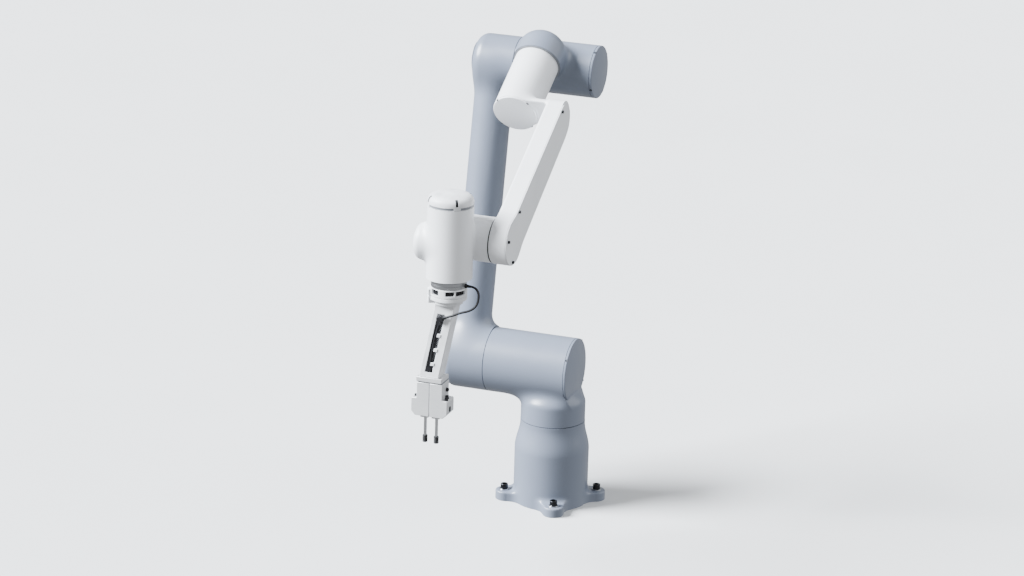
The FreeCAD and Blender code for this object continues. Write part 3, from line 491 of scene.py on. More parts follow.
def turned(profile, place=ROW, segments=96, closed=False):
    """Points and faces of a profile of (radius, height) turned about the Z axis of a frame.

    A third entry "hex" makes that ring of the profile six-sided, for a key socket.
    """
    points, faces = [], []
    count = len(profile)
    for turn in range(segments):
        angle = 2 * math.pi * turn / segments
        flat = math.cos(math.pi / 6) / math.cos(angle % (math.pi / 3) - math.pi / 6)
        for radius, height, *kind in profile:
            reach = radius * flat if kind else radius
            points.append(place @ Vector((reach * math.cos(angle), reach * math.sin(angle), height)))
    spans = count if closed else count - 1
    for turn in range(segments):
        here, there = turn * count, (turn + 1) % segments * count
        for number in range(spans):
            after = (number + 1) % count
            faces.append((here + number, there + number, there + after, here + after))
    return points, faces


def prism(outline, low, high, place=ROW):
    """Points and faces of an outline of (x, y) stretched from low to high along Z."""
    count = len(outline)
    points = [place @ Vector((x, y, height)) for height in (low, high) for x, y in outline]
    faces = [tuple(reversed(range(count))), tuple(range(count, 2 * count))]
    faces += [(side, (side + 1) % count, (side + 1) % count + count, side + count) for side in range(count)]
    return points, faces


def pipe(route, radius, segments=12):
    """Points and faces of a round bar that follows the points of a route, closed at its ends."""
    points, faces = [], []
    count = len(route)
    for number, spot in enumerate(route):
        before, after = route[max(number - 1, 0)], route[min(number + 1, count - 1)]
        way = (after - before).normalized()
        across = (way.orthogonal() if number == 0 else across - across.dot(way) * way).normalized()
        other = way.cross(across)
        for turn in range(segments):
            angle = 2 * math.pi * turn / segments
            points.append(spot + radius * (math.cos(angle) * across + math.sin(angle) * other))
    for ring in range(count - 1):
        for turn in range(segments):
            here, there = ring * segments + turn, ring * segments + (turn + 1) % segments
            faces.append((here, there, there + segments, here + segments))
    faces += [tuple(reversed(range(segments))), tuple(range((count - 1) * segments, count * segments))]
    return points, faces


def assemble(name, solids, material, body, slot, *replaced, bevel=0):
    """One piece from one or more closed solids."""
    points, faces = [], []
    for solid_points, solid_faces in solids:
        shift = len(points)
        points += [tuple(point) for point in solid_points]
        faces += [tuple(corner + shift for corner in face) for face in solid_faces]
    mesh = bpy.data.meshes.new(name)
    mesh.from_pydata(points, [], faces)
    return finish_mesh(name, mesh, material, body, slot, replaced, bevel)


def dome(radius, height, rise, steps=10):
    """Profile points of a shallow round rise from a rim to the axis."""
    ball = (radius ** 2 + rise ** 2) / (2 * rise)
    spots = []
    for step in range(1, steps + 1):
        reach = radius * (1 - step / steps)
        spots.append((reach, height + rise - ball + math.sqrt(ball ** 2 - reach ** 2)))
    return spots


def socket_screw(place, radius, height, key, shank=0.0):
    """A cap screw that stands on the XY plane of a frame, with a six-sided key socket in its head."""
    chamfer = 0.12 * radius
    profile = [(0, -shank), (0.55 * radius, -shank), (0.55 * radius, 0), (radius, 0),
               (radius, height - chamfer), (radius - chamfer, height), (1.12 * key, height),
               (key, height - 0.08 * radius, "hex"), (key, 0.45 * height, "hex"), (0, 0.4 * height)]
    return turned(profile, place, 36)


def small_screw(place, height):
    """One of the screws that hold the covers."""
    return socket_screw(place, 3.1 * MM, height, 1.4 * MM, 2 * MM)


def rim_places(axis, radius, height, turns):
    """Frames on a barrel's side that point outwards."""
    places = []
    for turn in turns:
        around = axis @ Matrix.Rotation(math.radians(turn), 4, "Z")
        places.append(around @ Matrix.Translation((radius, 0, height)) @ Matrix.Rotation(math.pi / 2, 4, "Y"))
    return places


# ---- base
EAR_TURN = math.radians(23)
BOLT_CIRCLE = frame["record"]["mounts"][0]["dims"]["pcd_mm"] / 2 * MM
BOLT_HOLE = frame["record"]["mounts"][0]["dims"]["hole_r_mm"] * MM
EAR_TOP = 22 * MM
EAR_TIP = 107 * MM  # centre of an ear's round end
FLARE_LOW = 132 * MM
FLARE_TOP = 197 * MM


def ear_angles():
    """Angles of the four ears about the base's axis."""
    return [EAR_TURN + math.radians(turn) for turn in quarter_turns(0)]


def base_shape(x, y, z):
    flare = smooth_step(z, FLARE_LOW, FLARE_TOP)
    body = (length(x, y) - (BASE + (NECK - BASE) * flare)) * 0.98
    for angle in ear_angles():
        out = x * math.cos(angle) + y * math.sin(angle)
        side = y * math.cos(angle) - x * math.sin(angle)
        half = 37 * MM + (25 - 37) * MM * np.clip((out - 60 * MM) / (47 * MM), 0, 1)
        outline = length(out - np.clip(out, 30 * MM, EAR_TIP), side) - half
        ear = rounded(outline, z - EAR_TOP, 3.5 * MM)
        hole = length(out - BOLT_CIRCLE, side) - BOLT_HOLE
        body = join(body, ear, 14 * MM)
        body = np.maximum(body, -hole)
    window = np.maximum(np.maximum(np.abs(x) - 41 * MM, np.abs(z - 80 * MM) - 38 * MM), 78.5 * MM - y)
    return np.maximum(body, -window)  # the rear panel's opening


def make_base_bolts():
    """Four cap screws with washers, standing on the ears."""
    screws, washers = [], []
    thick = 2.4 * MM
    washer = mm_outline([(6.6, 0.1), (11.8, 0.1), (11.8, 2.0), (11.4, 2.4), (6.6, 2.4)])
    for angle in ear_angles():
        spot = Matrix.Translation((BOLT_CIRCLE * math.cos(angle), BOLT_CIRCLE * math.sin(angle), EAR_TOP))
        head = spot @ Matrix.Translation((0, 0, thick))
        screws.append(socket_screw(head, 9 * MM, 12 * MM, 5.5 * MM, 22 * MM))
        washers.append(turned(washer, spot, 48, closed=True))
    assemble("base_bolts", screws, screw_steel, "base", "screw_steel")
    assemble("base_washers", washers, steel, "base", "screw_steel")


def make_base():
    make_base_bolts()
    reach = 135 * MM
    casting("base", base_shape, [plane(Z, 1, BASE_TOP), plane(Z, -1, 0)], ROW, (-reach, -reach, 0),
            (reach, reach, BASE_TOP), COARSE, grey_paint, "base", "blue_grey_paint", "base_casting")


# ---- shoulder
NECK_SHOULDER = -84 * MM  # where the neck starts to round over
NECK_CROWN = 36 * MM
NECK_CURVE = 2.3  # 2 would be an ellipse, more is squarer
shoulder_end = plane(X, 1, SHOULDER_END)


def shoulder_barrel(x, y, z):
    return length(y, z) - NECK


def shoulder_neck(x, y, z):
    """The neck, rounded over at the top so that it tucks under the end cap's rim."""
    height = np.maximum(z - NECK_SHOULDER, 0) / NECK_CROWN
    radius = length(x, y) / (NECK - 0.4 * MM)
    return ((radius ** NECK_CURVE + height ** NECK_CURVE) ** (1 / NECK_CURVE) - 1) * NECK_CROWN


def shoulder_shape(x, y, z):
    barrel = np.maximum(shoulder_barrel(x, y, z), shoulder_end(x, y, z))
    return join(barrel, shoulder_neck(x, y, z), 22 * MM)


def make_shoulder():
    reach = 80 * MM
    ends = [plane(X, -1, BARREL_WEST), plane(Z, -1, BASE_TOP + 2 * SEAM - shoulder_centre.z)]
    casting("shoulder", shoulder_shape, ends, SHOULDER, (BARREL_WEST, -reach, -127 * MM),
            (reach, reach, reach), COARSE, grey_paint, "shoulder", "blue_grey_paint", "shoulder_housing",
            creases=[(shoulder_barrel, shoulder_end)])
    make_end_cap("shoulder_end_cap", SHOULDER_AXIS, NECK, SHOULDER_END, 5.6 * MM, 4 * MM, quarter_turns(55),
                 50.6 * MM, grey_paint, "shoulder", "blue_grey_paint")


def make_end_cap(name, axis, radius, end, skirt, rise, turns, screw_height, material, body, slot):
    """A shallow domed cap with a skirt, a dark joint below it, and four small screws at its rim."""
    joint = end + 1.1 * MM
    top = joint + skirt
    edge = 1.8 * MM
    profile = [(0, end - 4 * MM), (radius - 2.2 * MM, end - 4 * MM), (radius - 2.2 * MM, joint),
               (radius - 0.4 * MM, joint), (radius, joint + 0.4 * MM), (radius, top - edge)]
    for turn in (22.5, 45, 67.5, 90):
        angle = math.radians(turn)
        profile.append((radius - edge * (1 - math.cos(angle)), top - edge + edge * math.sin(angle)))
    profile += dome(radius - edge, top, rise)
    assemble(name, [turned(profile, axis, 128)], material, body, slot, name)
    places = rim_places(axis, radius - 0.5 * MM, screw_height, turns)
    screws = [small_screw(place, 1.1 * MM) for place in places]
    assemble(name + "_screws", screws, screw_steel, body, "screw_steel",
             name.replace("end_cap", "cap_screws"))


# ---- upper arm
def arm_shape(u, v, w):
    """u runs along the arm, v forwards and w to the right, from the shoulder's centre."""
    foot = drum(u, v, w, NECK, HUB_FAR, 0, 22 * MM)
    top = drum(u - UPPER_LENGTH, v, w, ELBOW, HUB_FAR, 0, 26 * MM)
    tube = drum(w - TUBE_X, v, u, TUBE, -10 * MM, UPPER_LENGTH + 10 * MM, 20 * MM)
    return meet(join(join(tube, foot, 34 * MM), top, 34 * MM), HUB_FAR - w, 6 * MM)


def make_upper_arm():
    reach = 80 * MM
    casting("upper_arm", arm_shape, [plane(Z, 1, BARREL_WEST - 2 * SEAM)], UPPER,
            (-reach, -reach, HUB_FAR - 6 * MM), (UPPER_LENGTH + 65 * MM, reach, BARREL_WEST), COARSE,
            grey_paint, "upper_arm", "blue_grey_paint", "upper_arm_casting")
    screws = []
    for end, reach, radius in (("foot", 0, 57.2 * MM), ("top", UPPER_LENGTH, 42.2 * MM)):
        place = UPPER @ Matrix.Translation((reach, 0, HUB_FAR)) @ Matrix.Rotation(math.pi, 4, "X")
        lid, inner = 2.2 * MM, radius - 0.7 * MM
        profile = [(0, -2 * MM), (radius - 1 * MM, -2 * MM), (radius - 1 * MM, 0.5 * MM), (radius, 0.5 * MM),
                   (radius, 1.6 * MM), (inner, lid)] + dome(inner, lid, 1.4 * MM)
        assemble("arm_cover_" + end, [turned(profile, place)], grey_paint, "upper_arm", "blue_grey_paint",
                 f"upper_arm_{end}_cover")
        for turn in quarter_turns(45):
            spot = place @ Matrix.Rotation(math.radians(turn), 4, "Z")
            screws.append(small_screw(spot @ Matrix.Translation((radius - 6 * MM, 0, lid)), 1.6 * MM))
    assemble("arm_cover_screws", screws, screw_steel, "upper_arm", "screw_steel", "upper_arm_screws")


# ---- elbow
ELBOW_DROP = 80 * MM  # elbow axis below the forearm-roll axis
STUB_SEAM = 74.2 * MM
ELBOW_END = 34.5 * MM  # the barrel's end under its cap
ELBOW_EAST = ELBOW_END - roll_centre.x
ELBOW_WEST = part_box("elbow_housing")[0].x - roll_centre.x


def elbow_shape(x, y, z):
    barrel = length(y + ELBOW_DROP, z) - ELBOW
    stub = drum(x, y, z, STUB, -6 * MM, STUB_SEAM + 60 * MM, 44 * MM)
    return join(barrel, stub, 30 * MM)


def make_elbow():
    ends = [plane(X, 1, ELBOW_EAST), plane(X, -1, BARREL_WEST - roll_centre.x), plane(Z, 1, STUB_SEAM - SEAM)]
    casting("elbow", elbow_shape, ends, FORE, (ELBOW_WEST, -145 * MM, -65 * MM),
            (ELBOW_EAST, 60 * MM, STUB_SEAM), COARSE, grey_paint, "elbow", "blue_grey_paint", "elbow_housing",
            "elbow_back_cover")
    make_end_cap("elbow_end_cap", ELBOW_AXIS, ELBOW, ELBOW_END, 6 * MM, 5 * MM, quarter_turns(0),
                 38.6 * MM, grey_paint, "elbow", "blue_grey_paint")


# ---- forearm
BARREL_END = 236.5 * MM
LINK_INNER = 2.9 * MM - roll_centre.x
LINK_OUTER = 44.0 * MM - roll_centre.x
LINK_START = 207 * MM
LINK_HALF = 46 * MM
FORE_LENGTH = (wrist_centre - roll_centre).length


fore_inner = plane(X, -1, LINK_INNER + SEAM)
fore_barrel_end = plane(Z, 1, BARREL_END)


def link_outline(y, z):
    """The flat link seen from its side: straight front, tapering back, rounded top and a round hub."""
    back_slope = math.atan2(13 * MM, FORE_LENGTH - LINK_START)
    back = (-y - 34 * MM) * math.cos(back_slope) - (z - LINK_START) * math.sin(back_slope)
    corner = -(y + 14 * MM) * 0.62 - (z - LINK_START - 3 * MM) * 0.78  # cuts the back's top corner
    front = meet(y - LINK_HALF, LINK_START - z, 46 * MM)
    side = meet(meet(front, back, 26 * MM), corner, 34 * MM)
    side = meet(side, z - FORE_LENGTH, 4 * MM)
    return join(side, length(y, z - FORE_LENGTH) - LIMB, 16 * MM)


def fore_barrel(x, y, z):
    return length(x, y) - LIMB


def fore_shape(x, y, z):
    barrel = np.maximum(fore_barrel(x, y, z), fore_barrel_end(x, y, z))
    outline = link_outline(y, z)
    link = rounded(outline, np.maximum(fore_inner(x, y, z), x - LINK_OUTER - 40 * MM), 5 * MM)
    bridge_ends = np.maximum(-x, np.abs(z - (LINK_START + BARREL_END) / 2) - (BARREL_END - LINK_START) / 2)
    bridge = rounded(np.maximum(outline, -30 * MM - y), bridge_ends, 3 * MM)
    return join(join(barrel, bridge, 12 * MM), link, 8 * MM)


def link_edge(sign, heights):
    """How far the link's outline reaches to one side at each height along it."""
    near, far = np.zeros_like(heights), np.full_like(heights, 1.5 * LIMB)
    for _ in range(30):
        middle = (near + far) / 2
        inside = link_outline(sign * middle, heights) < -0.5 * MM
        near, far = np.where(inside, middle, near), np.where(inside, far, middle)
    return sign * near


def make_forearm_cover():
    """A thin lid on the link's outer side, with the link's own outline."""
    low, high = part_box("forearm_side_cover")
    top, bottom = LINK_START + 0.5 * MM, FORE_LENGTH + LIMB - 0.6 * MM
    sweep = (1 - np.cos(np.linspace(0, np.pi, 90))) / 2
    heights = top + (bottom - top) * sweep
    front, back = link_edge(1, heights), link_edge(-1, heights)
    wide = front - back > 1 * MM
    outline = list(zip(front[wide], heights[wide])) + list(zip(back[wide], heights[wide]))[::-1]
    turn = axes(Vector(), Vector((0, 1, 0)), EAST)  # the outline in Y and Z, its thickness in X
    lid = prism([(float(y), float(z)) for y, z in outline], low.x - roll_centre.x, high.x - roll_centre.x,
                FORE @ turn)
    assemble("forearm_cover", [lid], white_paint, "forearm", "white_paint", "forearm_side_cover",
             bevel=0.8 * MM)


def make_forearm():
    make_forearm_cover()
    ends = [plane(Z, -1, STUB_SEAM + SEAM), plane(X, 1, LINK_OUTER)]
    casting("forearm", fore_shape, ends, FORE, (-55 * MM, -56 * MM, STUB_SEAM),
            (LINK_OUTER, 56 * MM, FORE_LENGTH + LIMB), MEDIUM, white_paint, "forearm", "white_paint",
            "forearm_casting", creases=[(fore_barrel, fore_barrel_end)])
    make_end_cap("forearm_end_cap", FORE, LIMB, BARREL_END, 4.2 * MM, 3.5 * MM, quarter_turns(45),
                 239.8 * MM, white_paint, "forearm", "white_paint")


# ---- wrist
WRIST_TOP = 90 * MM
WRIST_BOTTOM = -76.2 * MM
TOOL_Y = tool_centre.y - wrist_centre.y
HUB_END = 81.7 * MM - SEAM


def wrist_shape(x, y, z):
    barrel = length(x, y - TOOL_Y) - LIMB
    hub = np.maximum(length(y, z) - (LIMB - 1 * MM), -x)
    button = drum(y - TOOL_Y, z, x, 43 * MM, -76 * MM, 0, 17 * MM)
    return join(join(barrel, hub, 10 * MM), button, 12 * MM)


def make_wrist():
    ends = [plane(X, 1, HUB_END), plane(Z, 1, WRIST_TOP), plane(Z, -1, WRIST_BOTTOM)]
    casting("wrist", wrist_shape, ends, WRIST, (-78 * MM, -124 * MM, WRIST_BOTTOM),
            (HUB_END, 54 * MM, WRIST_TOP), MEDIUM, white_paint, "wrist", "white_paint", "wrist_housing",
            "wrist_side_cap")


DIAGONALS = [math.radians(turn) for turn in quarter_turns(-53)]
CAP_FOOT = 93 * MM  # where the cap starts to round over
CAP_TOP = 119 * MM
CAP_CURVE = 3.4


def cap_notches(x, y, z, low, high, half, depth):
    """Distance to four upright pockets on the diagonals of the wrist's top cap."""
    found = np.full_like(x, 1.0)
    for angle in DIAGONALS:
        out = x * math.cos(angle) + y * math.sin(angle)
        side = y * math.cos(angle) - x * math.sin(angle)
        upright = np.abs(z - (low + high) / 2) - (high - low) / 2
        found = np.minimum(found, np.maximum(np.maximum(np.abs(side) - half, upright), LIMB - depth - out))
    return found


def wrist_cap_shape(x, y, z):
    """A domed cap: a groove round its foot, broken by four tabs, and a screw pocket above each tab."""
    height = np.maximum(z - CAP_FOOT, 0) / (CAP_TOP - CAP_FOOT)
    radius = length(x, y) / LIMB
    crown = ((radius ** CAP_CURVE + height ** CAP_CURVE) ** (1 / CAP_CURVE) - 1) * LIMB / 2
    groove = np.maximum(np.abs(z - 93.3 * MM) - 2.7 * MM, LIMB - 2.6 * MM - length(x, y))
    tabs = cap_notches(x, y, z, 80 * MM, 105 * MM, 8 * MM, 20 * MM)
    pockets = np.maximum(cap_notches(x, y, z, 99 * MM, 113 * MM, 3.1 * MM, 24 * MM), -crown - 1.5 * MM)
    cap = np.maximum(np.maximum(crown, -np.maximum(groove, -tabs)), -pockets)
    return np.maximum(cap, WRIST_TOP + 0.35 * MM - z)


def make_wrist_cap():
    reach = 54 * MM
    casting("wrist_cap", wrist_cap_shape, [], TOOL, (-reach, -reach, WRIST_TOP), (reach, reach, CAP_TOP),
            1.0 * MM, cap_plastic, "wrist", "cap_plastic", "wrist_top_cap")
    ring = rectangle(LIMB - 6 * MM, 91 * MM, LIMB - 1.2 * MM, 95.4 * MM)
    assemble("wrist_ring", [turned(ring, TOOL, closed=True)], ring_plastic, "wrist", "light_ring",
             "wrist_light_ring")
    strips = []
    for angle in DIAGONALS:
        route = []
        for step in range(8):
            height = (99 + 13 * step / 7) * MM
            rise = (height - CAP_FOOT) / (CAP_TOP - CAP_FOOT)
            reach = LIMB * (1 - rise ** CAP_CURVE) ** (1 / CAP_CURVE) - 3.4 * MM
            route.append(TOOL @ Vector((reach * math.cos(angle), reach * math.sin(angle), height)))
        strips.append(pipe(route, 2.8 * MM))
    assemble("wrist_cap_latches", strips, black_plastic, "wrist", "cap_plastic")


# ---- flange and adapter
FLANGE = 40 * MM
FLANGE_FACE = WRIST_BOTTOM - SEAM
RING = 41.5 * MM
RING_TOP = -96.5 * MM
RING_LOW = -126 * MM
COLLAR_LOW = -135.7 * MM
SLOT_HEIGHT = -105 * MM
SLOTS = ((-134, -104, 6.4), (-80, -52, 5.2), (-46, -8, 5.2), (22, 60, 5.2), (100, 140, 5.2))


def sector(x, y, z, first, last, reach, middle, half):
    """Distance to a slot in the side of a ring, between two angles in degrees."""
    centre = math.radians((first + last) / 2)
    spread = math.radians((last - first) / 2)
    turn = np.arctan2(y, x) - centre
    turn = np.abs((turn + np.pi) % (2 * np.pi) - np.pi) - spread
    sides = np.maximum(turn * RING, np.abs(z - middle) - half)
    return np.maximum(sides, reach - length(x, y))


def adapter_shape(x, y, z):
    ring_ends = np.abs(z - (RING_TOP + RING_LOW) / 2) - (RING_TOP - RING_LOW) / 2
    ring = rounded(length(x, y) - RING, ring_ends, 1.6 * MM)
    lug_turn = math.radians(-150)
    out = x * math.cos(lug_turn) + y * math.sin(lug_turn)
    side = y * math.cos(lug_turn) - x * math.sin(lug_turn)
    lug = rounded(np.maximum(np.abs(side) - 8 * MM, np.abs(out - 36 * MM) - 10.5 * MM),
                  np.abs(z + 117 * MM) - 17 * MM, 3 * MM)
    body = join(ring, lug, 3 * MM)
    for first, last, half in SLOTS:
        body = np.maximum(body, -sector(x, y, z, first, last, RING - 5 * MM, SLOT_HEIGHT, half * MM))
    line = sector(x, y, z, -180, 180.1, RING - 1.1 * MM, -116.5 * MM, 0.9 * MM)
    return np.maximum(body, -line)


def make_contacts():
    """The dark core and the contact pins that show in the adapter's slots."""
    solids = [turned(rectangle(20 * MM, -111 * MM, RING - 4.2 * MM, -99 * MM), TOOL, closed=True)]
    pin_circle = RING - 4.6 * MM
    pin = mm_outline([(0, -3.6), (1.7, -3.6), (1.7, 3.6), (0, 3.6)])
    for first, last, _ in SLOTS:
        count = max(2, round((last - first) / 9))
        for number in range(count):
            turn = math.radians(first + (last - first) * (number + 0.5) / count)
            spot = Vector((pin_circle * math.cos(turn), pin_circle * math.sin(turn), SLOT_HEIGHT))
            points, faces = turned(pin, Matrix.Translation(spot), 16)
            solids.append(([TOOL @ point for point in points], faces))
    assemble("adapter_contacts", solids, black_plastic, "tool", "black_plastic")


def make_flange():
    low = RING_TOP
    flange = [(14 * MM, low), (FLANGE, low), (FLANGE, low + 7 * MM), (FLANGE - 0.8 * MM, low + 7.6 * MM),
              (FLANGE - 0.8 * MM, low + 9 * MM), (FLANGE, low + 9.6 * MM), (FLANGE, FLANGE_FACE - 5 * MM),
              (FLANGE - 1 * MM, FLANGE_FACE - 4 * MM), (14 * MM, FLANGE_FACE - 4 * MM)]
    assemble("flange", [turned(flange, TOOL, closed=True)], flange_metal, "tool", "flange_aluminium",
             "tool_flange")
    seal = [(14 * MM, FLANGE_FACE - 4.1 * MM), (FLANGE - 2 * MM, FLANGE_FACE - 4.1 * MM),
            (FLANGE - 1.6 * MM, FLANGE_FACE - 2 * MM), (FLANGE - 2 * MM, FLANGE_FACE), (14 * MM, FLANGE_FACE)]
    assemble("flange_seal", [turned(seal, TOOL, closed=True)], seal_rubber, "tool", "seal_rubber")
    reach = 52.3 * MM
    casting("adapter", adapter_shape, [], TOOL, (-reach, -reach, -137 * MM), (reach, reach, -95 * MM),
            1.3 * MM, bracket_plastic, "tool", "adapter_plastic", "tool_adapter")
    make_contacts()
    collar = [(14 * MM, COLLAR_LOW), (32 * MM, COLLAR_LOW), (33 * MM, COLLAR_LOW + 1 * MM),
              (33 * MM, -124 * MM), (14 * MM, -124 * MM)]
    assemble("adapter_collar", [turned(collar, TOOL, closed=True)], bracket_plastic, "tool",
             "adapter_plastic")
    gland_place = TOOL @ Matrix.Translation((FLANGE, 0, -92.2 * MM)) @ Matrix.Rotation(math.pi / 2, 4, "Y")
    gland = mm_outline([(0, -1), (4.8, -1), (4.8, 2.6), (4.2, 3.2), (3.6, 4.4), (3.2, 8), (2.9, 12),
                        (0, 12.4)])
    assemble("flange_gland", [turned(gland, gland_place, 40)], black_plastic, "tool", "socket_metal",
             "flange_socket")


# ---- bracket between the adapter and the gripper
DROP = 176 * MM
SHIFT = 35 * MM


def column(x, y, down):
    """A place on the slanted bracket: across it, in depth, and how far down from its top."""
    return tool_centre + Vector((x - SHIFT * down / DROP, y, COLLAR_LOW - down))


def make_bracket():
    half, deep = 22.9 * MM, 21 * MM
    left, right, floor = -12.7 * MM, 4.6 * MM, -5 * MM
    high, low = 24 * MM, DROP - 13 * MM
    points = [column(x, y, down) for down in (0, DROP) for x, y in
              ((-half, -deep), (half, -deep), (half, deep), (-half, deep))]
    points += [column(x, y, down) for y in (-deep, floor) for x, down in
               ((left, high), (right, high), (right, low), (left, low))]
    faces = [(0, 3, 2, 1), (4, 5, 6, 7), (1, 2, 6, 5), (2, 3, 7, 6), (3, 0, 4, 7),
             (0, 1, 9, 8), (1, 5, 10, 9), (5, 4, 11, 10), (4, 0, 8, 11),
             (8, 9, 13, 12), (9, 10, 14, 13), (10, 11, 15, 14), (11, 8, 12, 15), (12, 13, 14, 15)]
    assemble("bracket", [(points, faces)], bracket_plastic, "tool", "bracket_plastic",
             "gripper_bracket", bevel=1.6 * MM)
    bows = ((46, -4.6), (60, -6.2), (80, -7.4), (100, -7.4), (120, -6.6), (140, -5.2), (156, -4.0))
    strands = []
    for shift, depth in ((-4.3, -17.2), (0.2, -18.2), (4.5, -16.6)):
        route = [column((bow + shift) * MM, depth * MM, down * MM) for down, bow in bows]
        strands.append(pipe(route, 2.45 * MM))
    blocks = [box_solid(-10.4, 3.4, -20.4, -6, 41, 49), box_solid(-11.2, 3.0, -20.6, -6, 151, 163),
              box_solid(-8.4, 2.2, -22.2, -19.6, 153, 161)]
    assemble("bracket_cables", strands + blocks, black_plastic, "tool", "black_plastic", "bracket_leads")
    clips = []
    for down in (74, 109, 143):
        clips.append(box_solid(-2.6, 6, -22.4, -12, down - 3.6, down + 3.6))
        clips.append(box_solid(-14, 6, -13.4, -10, down - 2.4, down + 2.4))
    assemble("bracket_clips", clips, bracket_plastic, "tool", "bracket_plastic", bevel=0.5 * MM)


def box_solid(left, right, front, back, high, low):
    """A block in the bracket's own coordinates, in millimetres."""
    points = [column(x * MM, y * MM, down * MM) for down in (low, high) for x, y in
              ((left, front), (right, front), (right, back), (left, back))]
    return points, [(0, 3, 2, 1), (4, 5, 6, 7), (0, 1, 5, 4), (1, 2, 6, 5), (2, 3, 7, 6), (3, 0, 4, 7)]


# ---- gripper
GRIP = Matrix.Translation(tool_centre + Vector((-SHIFT, 0, COLLAR_LOW - DROP)))
GRIP_FRONT = GRIP @ Matrix.Rotation(math.pi / 2, 4, "X")  # outlines in x and z, stretched backwards


def slotted_prism(kept, cut, inner, deep, slot, place):
    """An outline stretched both ways from the XY plane, with a slot cut across its middle.

    The outline's corners are kept or cut. Within the slot, one inner corner stands in for those cut.
    """
    corners = kept + cut
    count = len(corners)
    points = [place @ Vector((x, y, level)) for level in (-deep, -slot, slot, deep) for x, y in corners]
    points += [place @ Vector((*inner, level)) for level in (-slot, slot)]
    near, far = 4 * count, 4 * count + 1
    faces = [tuple(range(count)), tuple(range(3 * count, 4 * count))]
    for row, sides in enumerate((count, len(kept) - 1, count)):
        for side in range(sides):
            here, after = row * count + side, row * count + (side + 1) % count
            faces.append((here, after, after + count, here + count))
    last = len(kept) - 1
    for corner in (0, last):
        faces.append((count + corner, 2 * count + corner, far, near))
    for row, hidden in ((1, near), (2, far)):
        faces.append((*(row * count + corner for corner in [*range(last, count), 0]), hidden))
    return points, faces


def make_gripper():
    plate = prism(mm_outline(rectangle(-29, -23.5, 31, 23.5)), -10.5 * MM, 0, GRIP)
    assemble("gripper_mount", [plate], grip_metal, "tool", "gripper_aluminium", "gripper_plate",
             bevel=0.9 * MM)
    gasket = prism(mm_outline(rectangle(-26.5, -21, 31.5, 21)), -14 * MM, -10.4 * MM, GRIP)
    assemble("gripper_gasket", [gasket], ring_plastic, "tool", "black_plastic")
    left_half = [(2.3, -79.5), (2.3, -13.2), (-28, -13.2), (-28, -49), (-30, -51), (-38, -51), (-40.5, -53.5),
                 (-40.5, -83), (-34, -89.5)]
    right_half = [(3.3, -79.5), (3.3, -13.2), (33, -13.2), (33, -49), (35, -51), (43, -51), (45.5, -53.5),
                  (45.5, -83), (35, -92.5)]
    halves = []
    for kept, cut, inner in ((left_half, [(-31, -92.5), (2.3, -92.5)], (-34, -79.5)),
                             (right_half, [(3.3, -92.5)], (35, -79.5))):
        inner = (inner[0] * MM, inner[1] * MM)
        halves.append(slotted_prism(mm_outline(kept), mm_outline(cut), inner, 22 * MM, 9.2 * MM, GRIP_FRONT))
    assemble("gripper_shell", halves, grip_metal, "tool", "gripper_aluminium", "gripper_body", bevel=1.1 * MM)
    bars = []
    for high, low, front, back in ((-15, -79, -21, 21), (-78.6, -91, -20.9, -9.6), (-78.6, -91, 9.6, 20.9)):
        strip = mm_outline([(1, high), (1, low), (5, low), (5, high)])
        bars.append(prism(strip, front * MM, back * MM, GRIP_FRONT))
    assemble("gripper_spine", bars, ring_plastic, "tool", "black_plastic")
    make_gripper_fittings()
    for name in ("left", "right"):
        make_fingertip(name)


def fitting(place, radius, height):
    """A push-in air fitting: a hexagonal foot, a release collar and a dark mouth."""
    return turned([(0, 0), (radius, 0, "hex"), (radius, 0.4 * height, "hex"), (0.86 * radius, 0.45 * height),
                   (0.86 * radius, 0.9 * height), (0.76 * radius, height), (0.45 * radius, height),
                   (0.45 * radius, 0.5 * height), (0, 0.5 * height)], place, 36)


def make_gripper_fittings():
    sideways = Matrix.Rotation(math.pi / 2, 4, "Y")
    spots = [(GRIP @ Matrix.Translation((36.5 * MM, 2 * MM, -51 * MM)), 4.4 * MM, 7 * MM),
             (GRIP @ Matrix.Translation((40 * MM, -12 * MM, -51 * MM)), 4.4 * MM, 7 * MM),
             (GRIP @ Matrix.Translation((-34.5 * MM, -9 * MM, -51 * MM)), 3.4 * MM, 4.6 * MM),
             (GRIP @ Matrix.Translation((33 * MM, 6 * MM, -31.5 * MM)) @ sideways, 5 * MM, 5.5 * MM)]
    solids = [fitting(*spot) for spot in spots]
    solids.append(prism(mm_outline(rectangle(-5.5, -3, 5.5, 3)), 0, 1.6 * MM,
                        GRIP @ Matrix.Translation((45.5 * MM, -4 * MM, -73 * MM)) @ sideways))
    assemble("gripper_fittings", solids, black_plastic, "tool", "black_plastic", "gripper_ports")


def make_fingertip(name):
    """A rubber tip with three ribs, on its rod."""
    low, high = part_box("fingertip_" + name)
    middle = (low + high) / 2
    place = Matrix.Translation((middle.x, middle.y, low.z))
    tall = high.z - low.z
    profile = [(0, 0), (4.6 * MM, 0), (5.9 * MM, 1.2 * MM)]
    for rib in (0.3, 0.5, 0.7):
        profile += [(5.9 * MM, tall * rib - 0.8 * MM), (5.2 * MM, tall * rib - 0.3 * MM),
                    (5.2 * MM, tall * rib + 0.3 * MM), (5.9 * MM, tall * rib + 0.8 * MM)]
    profile += [(5.9 * MM, tall - 0.8 * MM), (5.2 * MM, tall), (0, tall)]
    assemble(f"tip_{name}", [turned(profile, place, 48)], tip_rubber, f"jaw_{name}", "tip_rubber",
             f"fingertip_{name}")


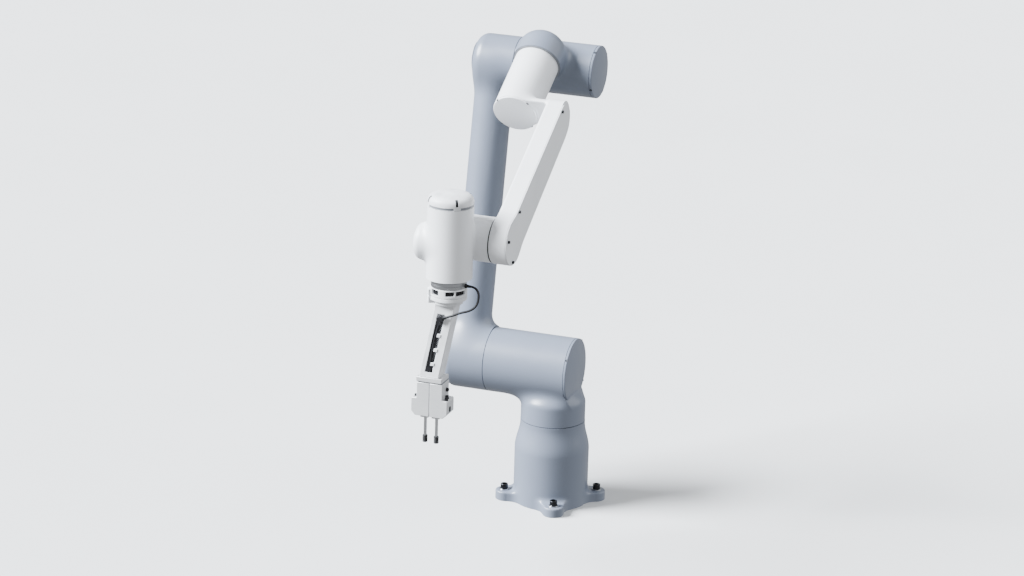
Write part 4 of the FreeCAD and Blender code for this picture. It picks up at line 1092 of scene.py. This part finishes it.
# ---- CAD nodes that keep their shape
DRIVES = ("yaw", "shoulder", "elbow", "roll", "pitch", "tool")
KEPT = {
    panel_paint: ("rear_panel",),
    seal_rubber: ("yaw_seal", "shoulder_seal", "elbow_seal", "pitch_seal"),
    ring_plastic: ("roll_seal",),
    steel: [drive + "_gearbox" for drive in DRIVES],
    motor_metal: [drive + "_motor" for drive in DRIVES],
    screw_steel: ("panel_screws", "forearm_cover_screws"),
    black_plastic: ("panel_plugs", "arm_harness"),
    rod_steel: ("jaw_left", "jaw_right"),
}


def dress_kept_nodes():
    for material, names in KEPT.items():
        for name in names:
            mesh = frame["nodes"][name].data
            mesh.materials.clear()
            mesh.materials.append(material)


# ---- the free lead
LEAD_START = tool_centre + Vector((45 * MM, 0, WRIST_BOTTOM - 16 * MM))
LEAD_STEPS = [(0, 0, 0), (14, 0, 1), (27, -4, -8), (30, -10, -24), (26, -16, -40), (13, -22, -50),
              (-6, -26, -55)]
COLUMN_TILT = math.atan2(SHIFT, DROP)
PLUG_TILT = COLUMN_TILT - math.radians(31)


def make_lead():
    exit_way = Vector((math.cos(PLUG_TILT), 0, -math.sin(PLUG_TILT)))
    side_way = Vector((math.cos(COLUMN_TILT), 0, -math.sin(COLUMN_TILT)))
    down_way = Vector((-math.sin(COLUMN_TILT), 0, -math.cos(COLUMN_TILT)))
    centre = (tool_centre + Vector((0, -22 * MM, COLLAR_LOW)) - side_way * 1 * MM + down_way * 32 * MM)
    mouth = centre + exit_way * 13 * MM + Vector((0, -4.5 * MM, 0))
    route = [LEAD_START + Vector(step) * MM for step in LEAD_STEPS] + [mouth + exit_way * 14 * MM, mouth]
    plug_place = axes(centre + Vector((0, -4.5 * MM, 0)), Vector((0, 1, 0)), exit_way)
    shell = prism(mm_outline(rectangle(-4.4, -5.5, 3.5, 5.5)), -9 * MM, 5 * MM, plug_place)
    boot = turned(mm_outline([(0, 4), (4.3, 4), (4.3, 6.6), (3.5, 7.2), (4.0, 8.2), (3.3, 9.2), (3.7, 10.2),
                              (3.1, 13), (0, 13)]), plug_place, 32)
    plug = assemble("lead_end", [shell, boot], black_plastic, "tool", "black_plastic", "lead_plug",
                    bevel=0.7 * MM)
    curve = bpy.data.curves.new("lead", "CURVE")
    curve.dimensions = "3D"
    curve.bevel_depth = 2.6 * MM
    curve.bevel_resolution = 5
    curve.use_fill_caps = True
    curve.resolution_u = 16
    line = curve.splines.new("NURBS")
    line.points.add(len(route) - 1)
    for point, place in zip(line.points, route):
        point.co = (*place, 1)
    line.order_u = 3
    line.use_endpoint_u = True
    lead = bpy.data.objects.new("lead", curve)
    bpy.context.scene.collection.objects.link(lead)
    curve.materials.append(lead_rubber)
    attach(lead, "tool")
    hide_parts("tool_lead")


make_camera()
make_lead()
make_studio()
dress_kept_nodes()
make_base()
make_shoulder()
make_upper_arm()
make_elbow()
make_forearm()
make_wrist()
make_wrist_cap()
make_flange()
make_bracket()
make_gripper()
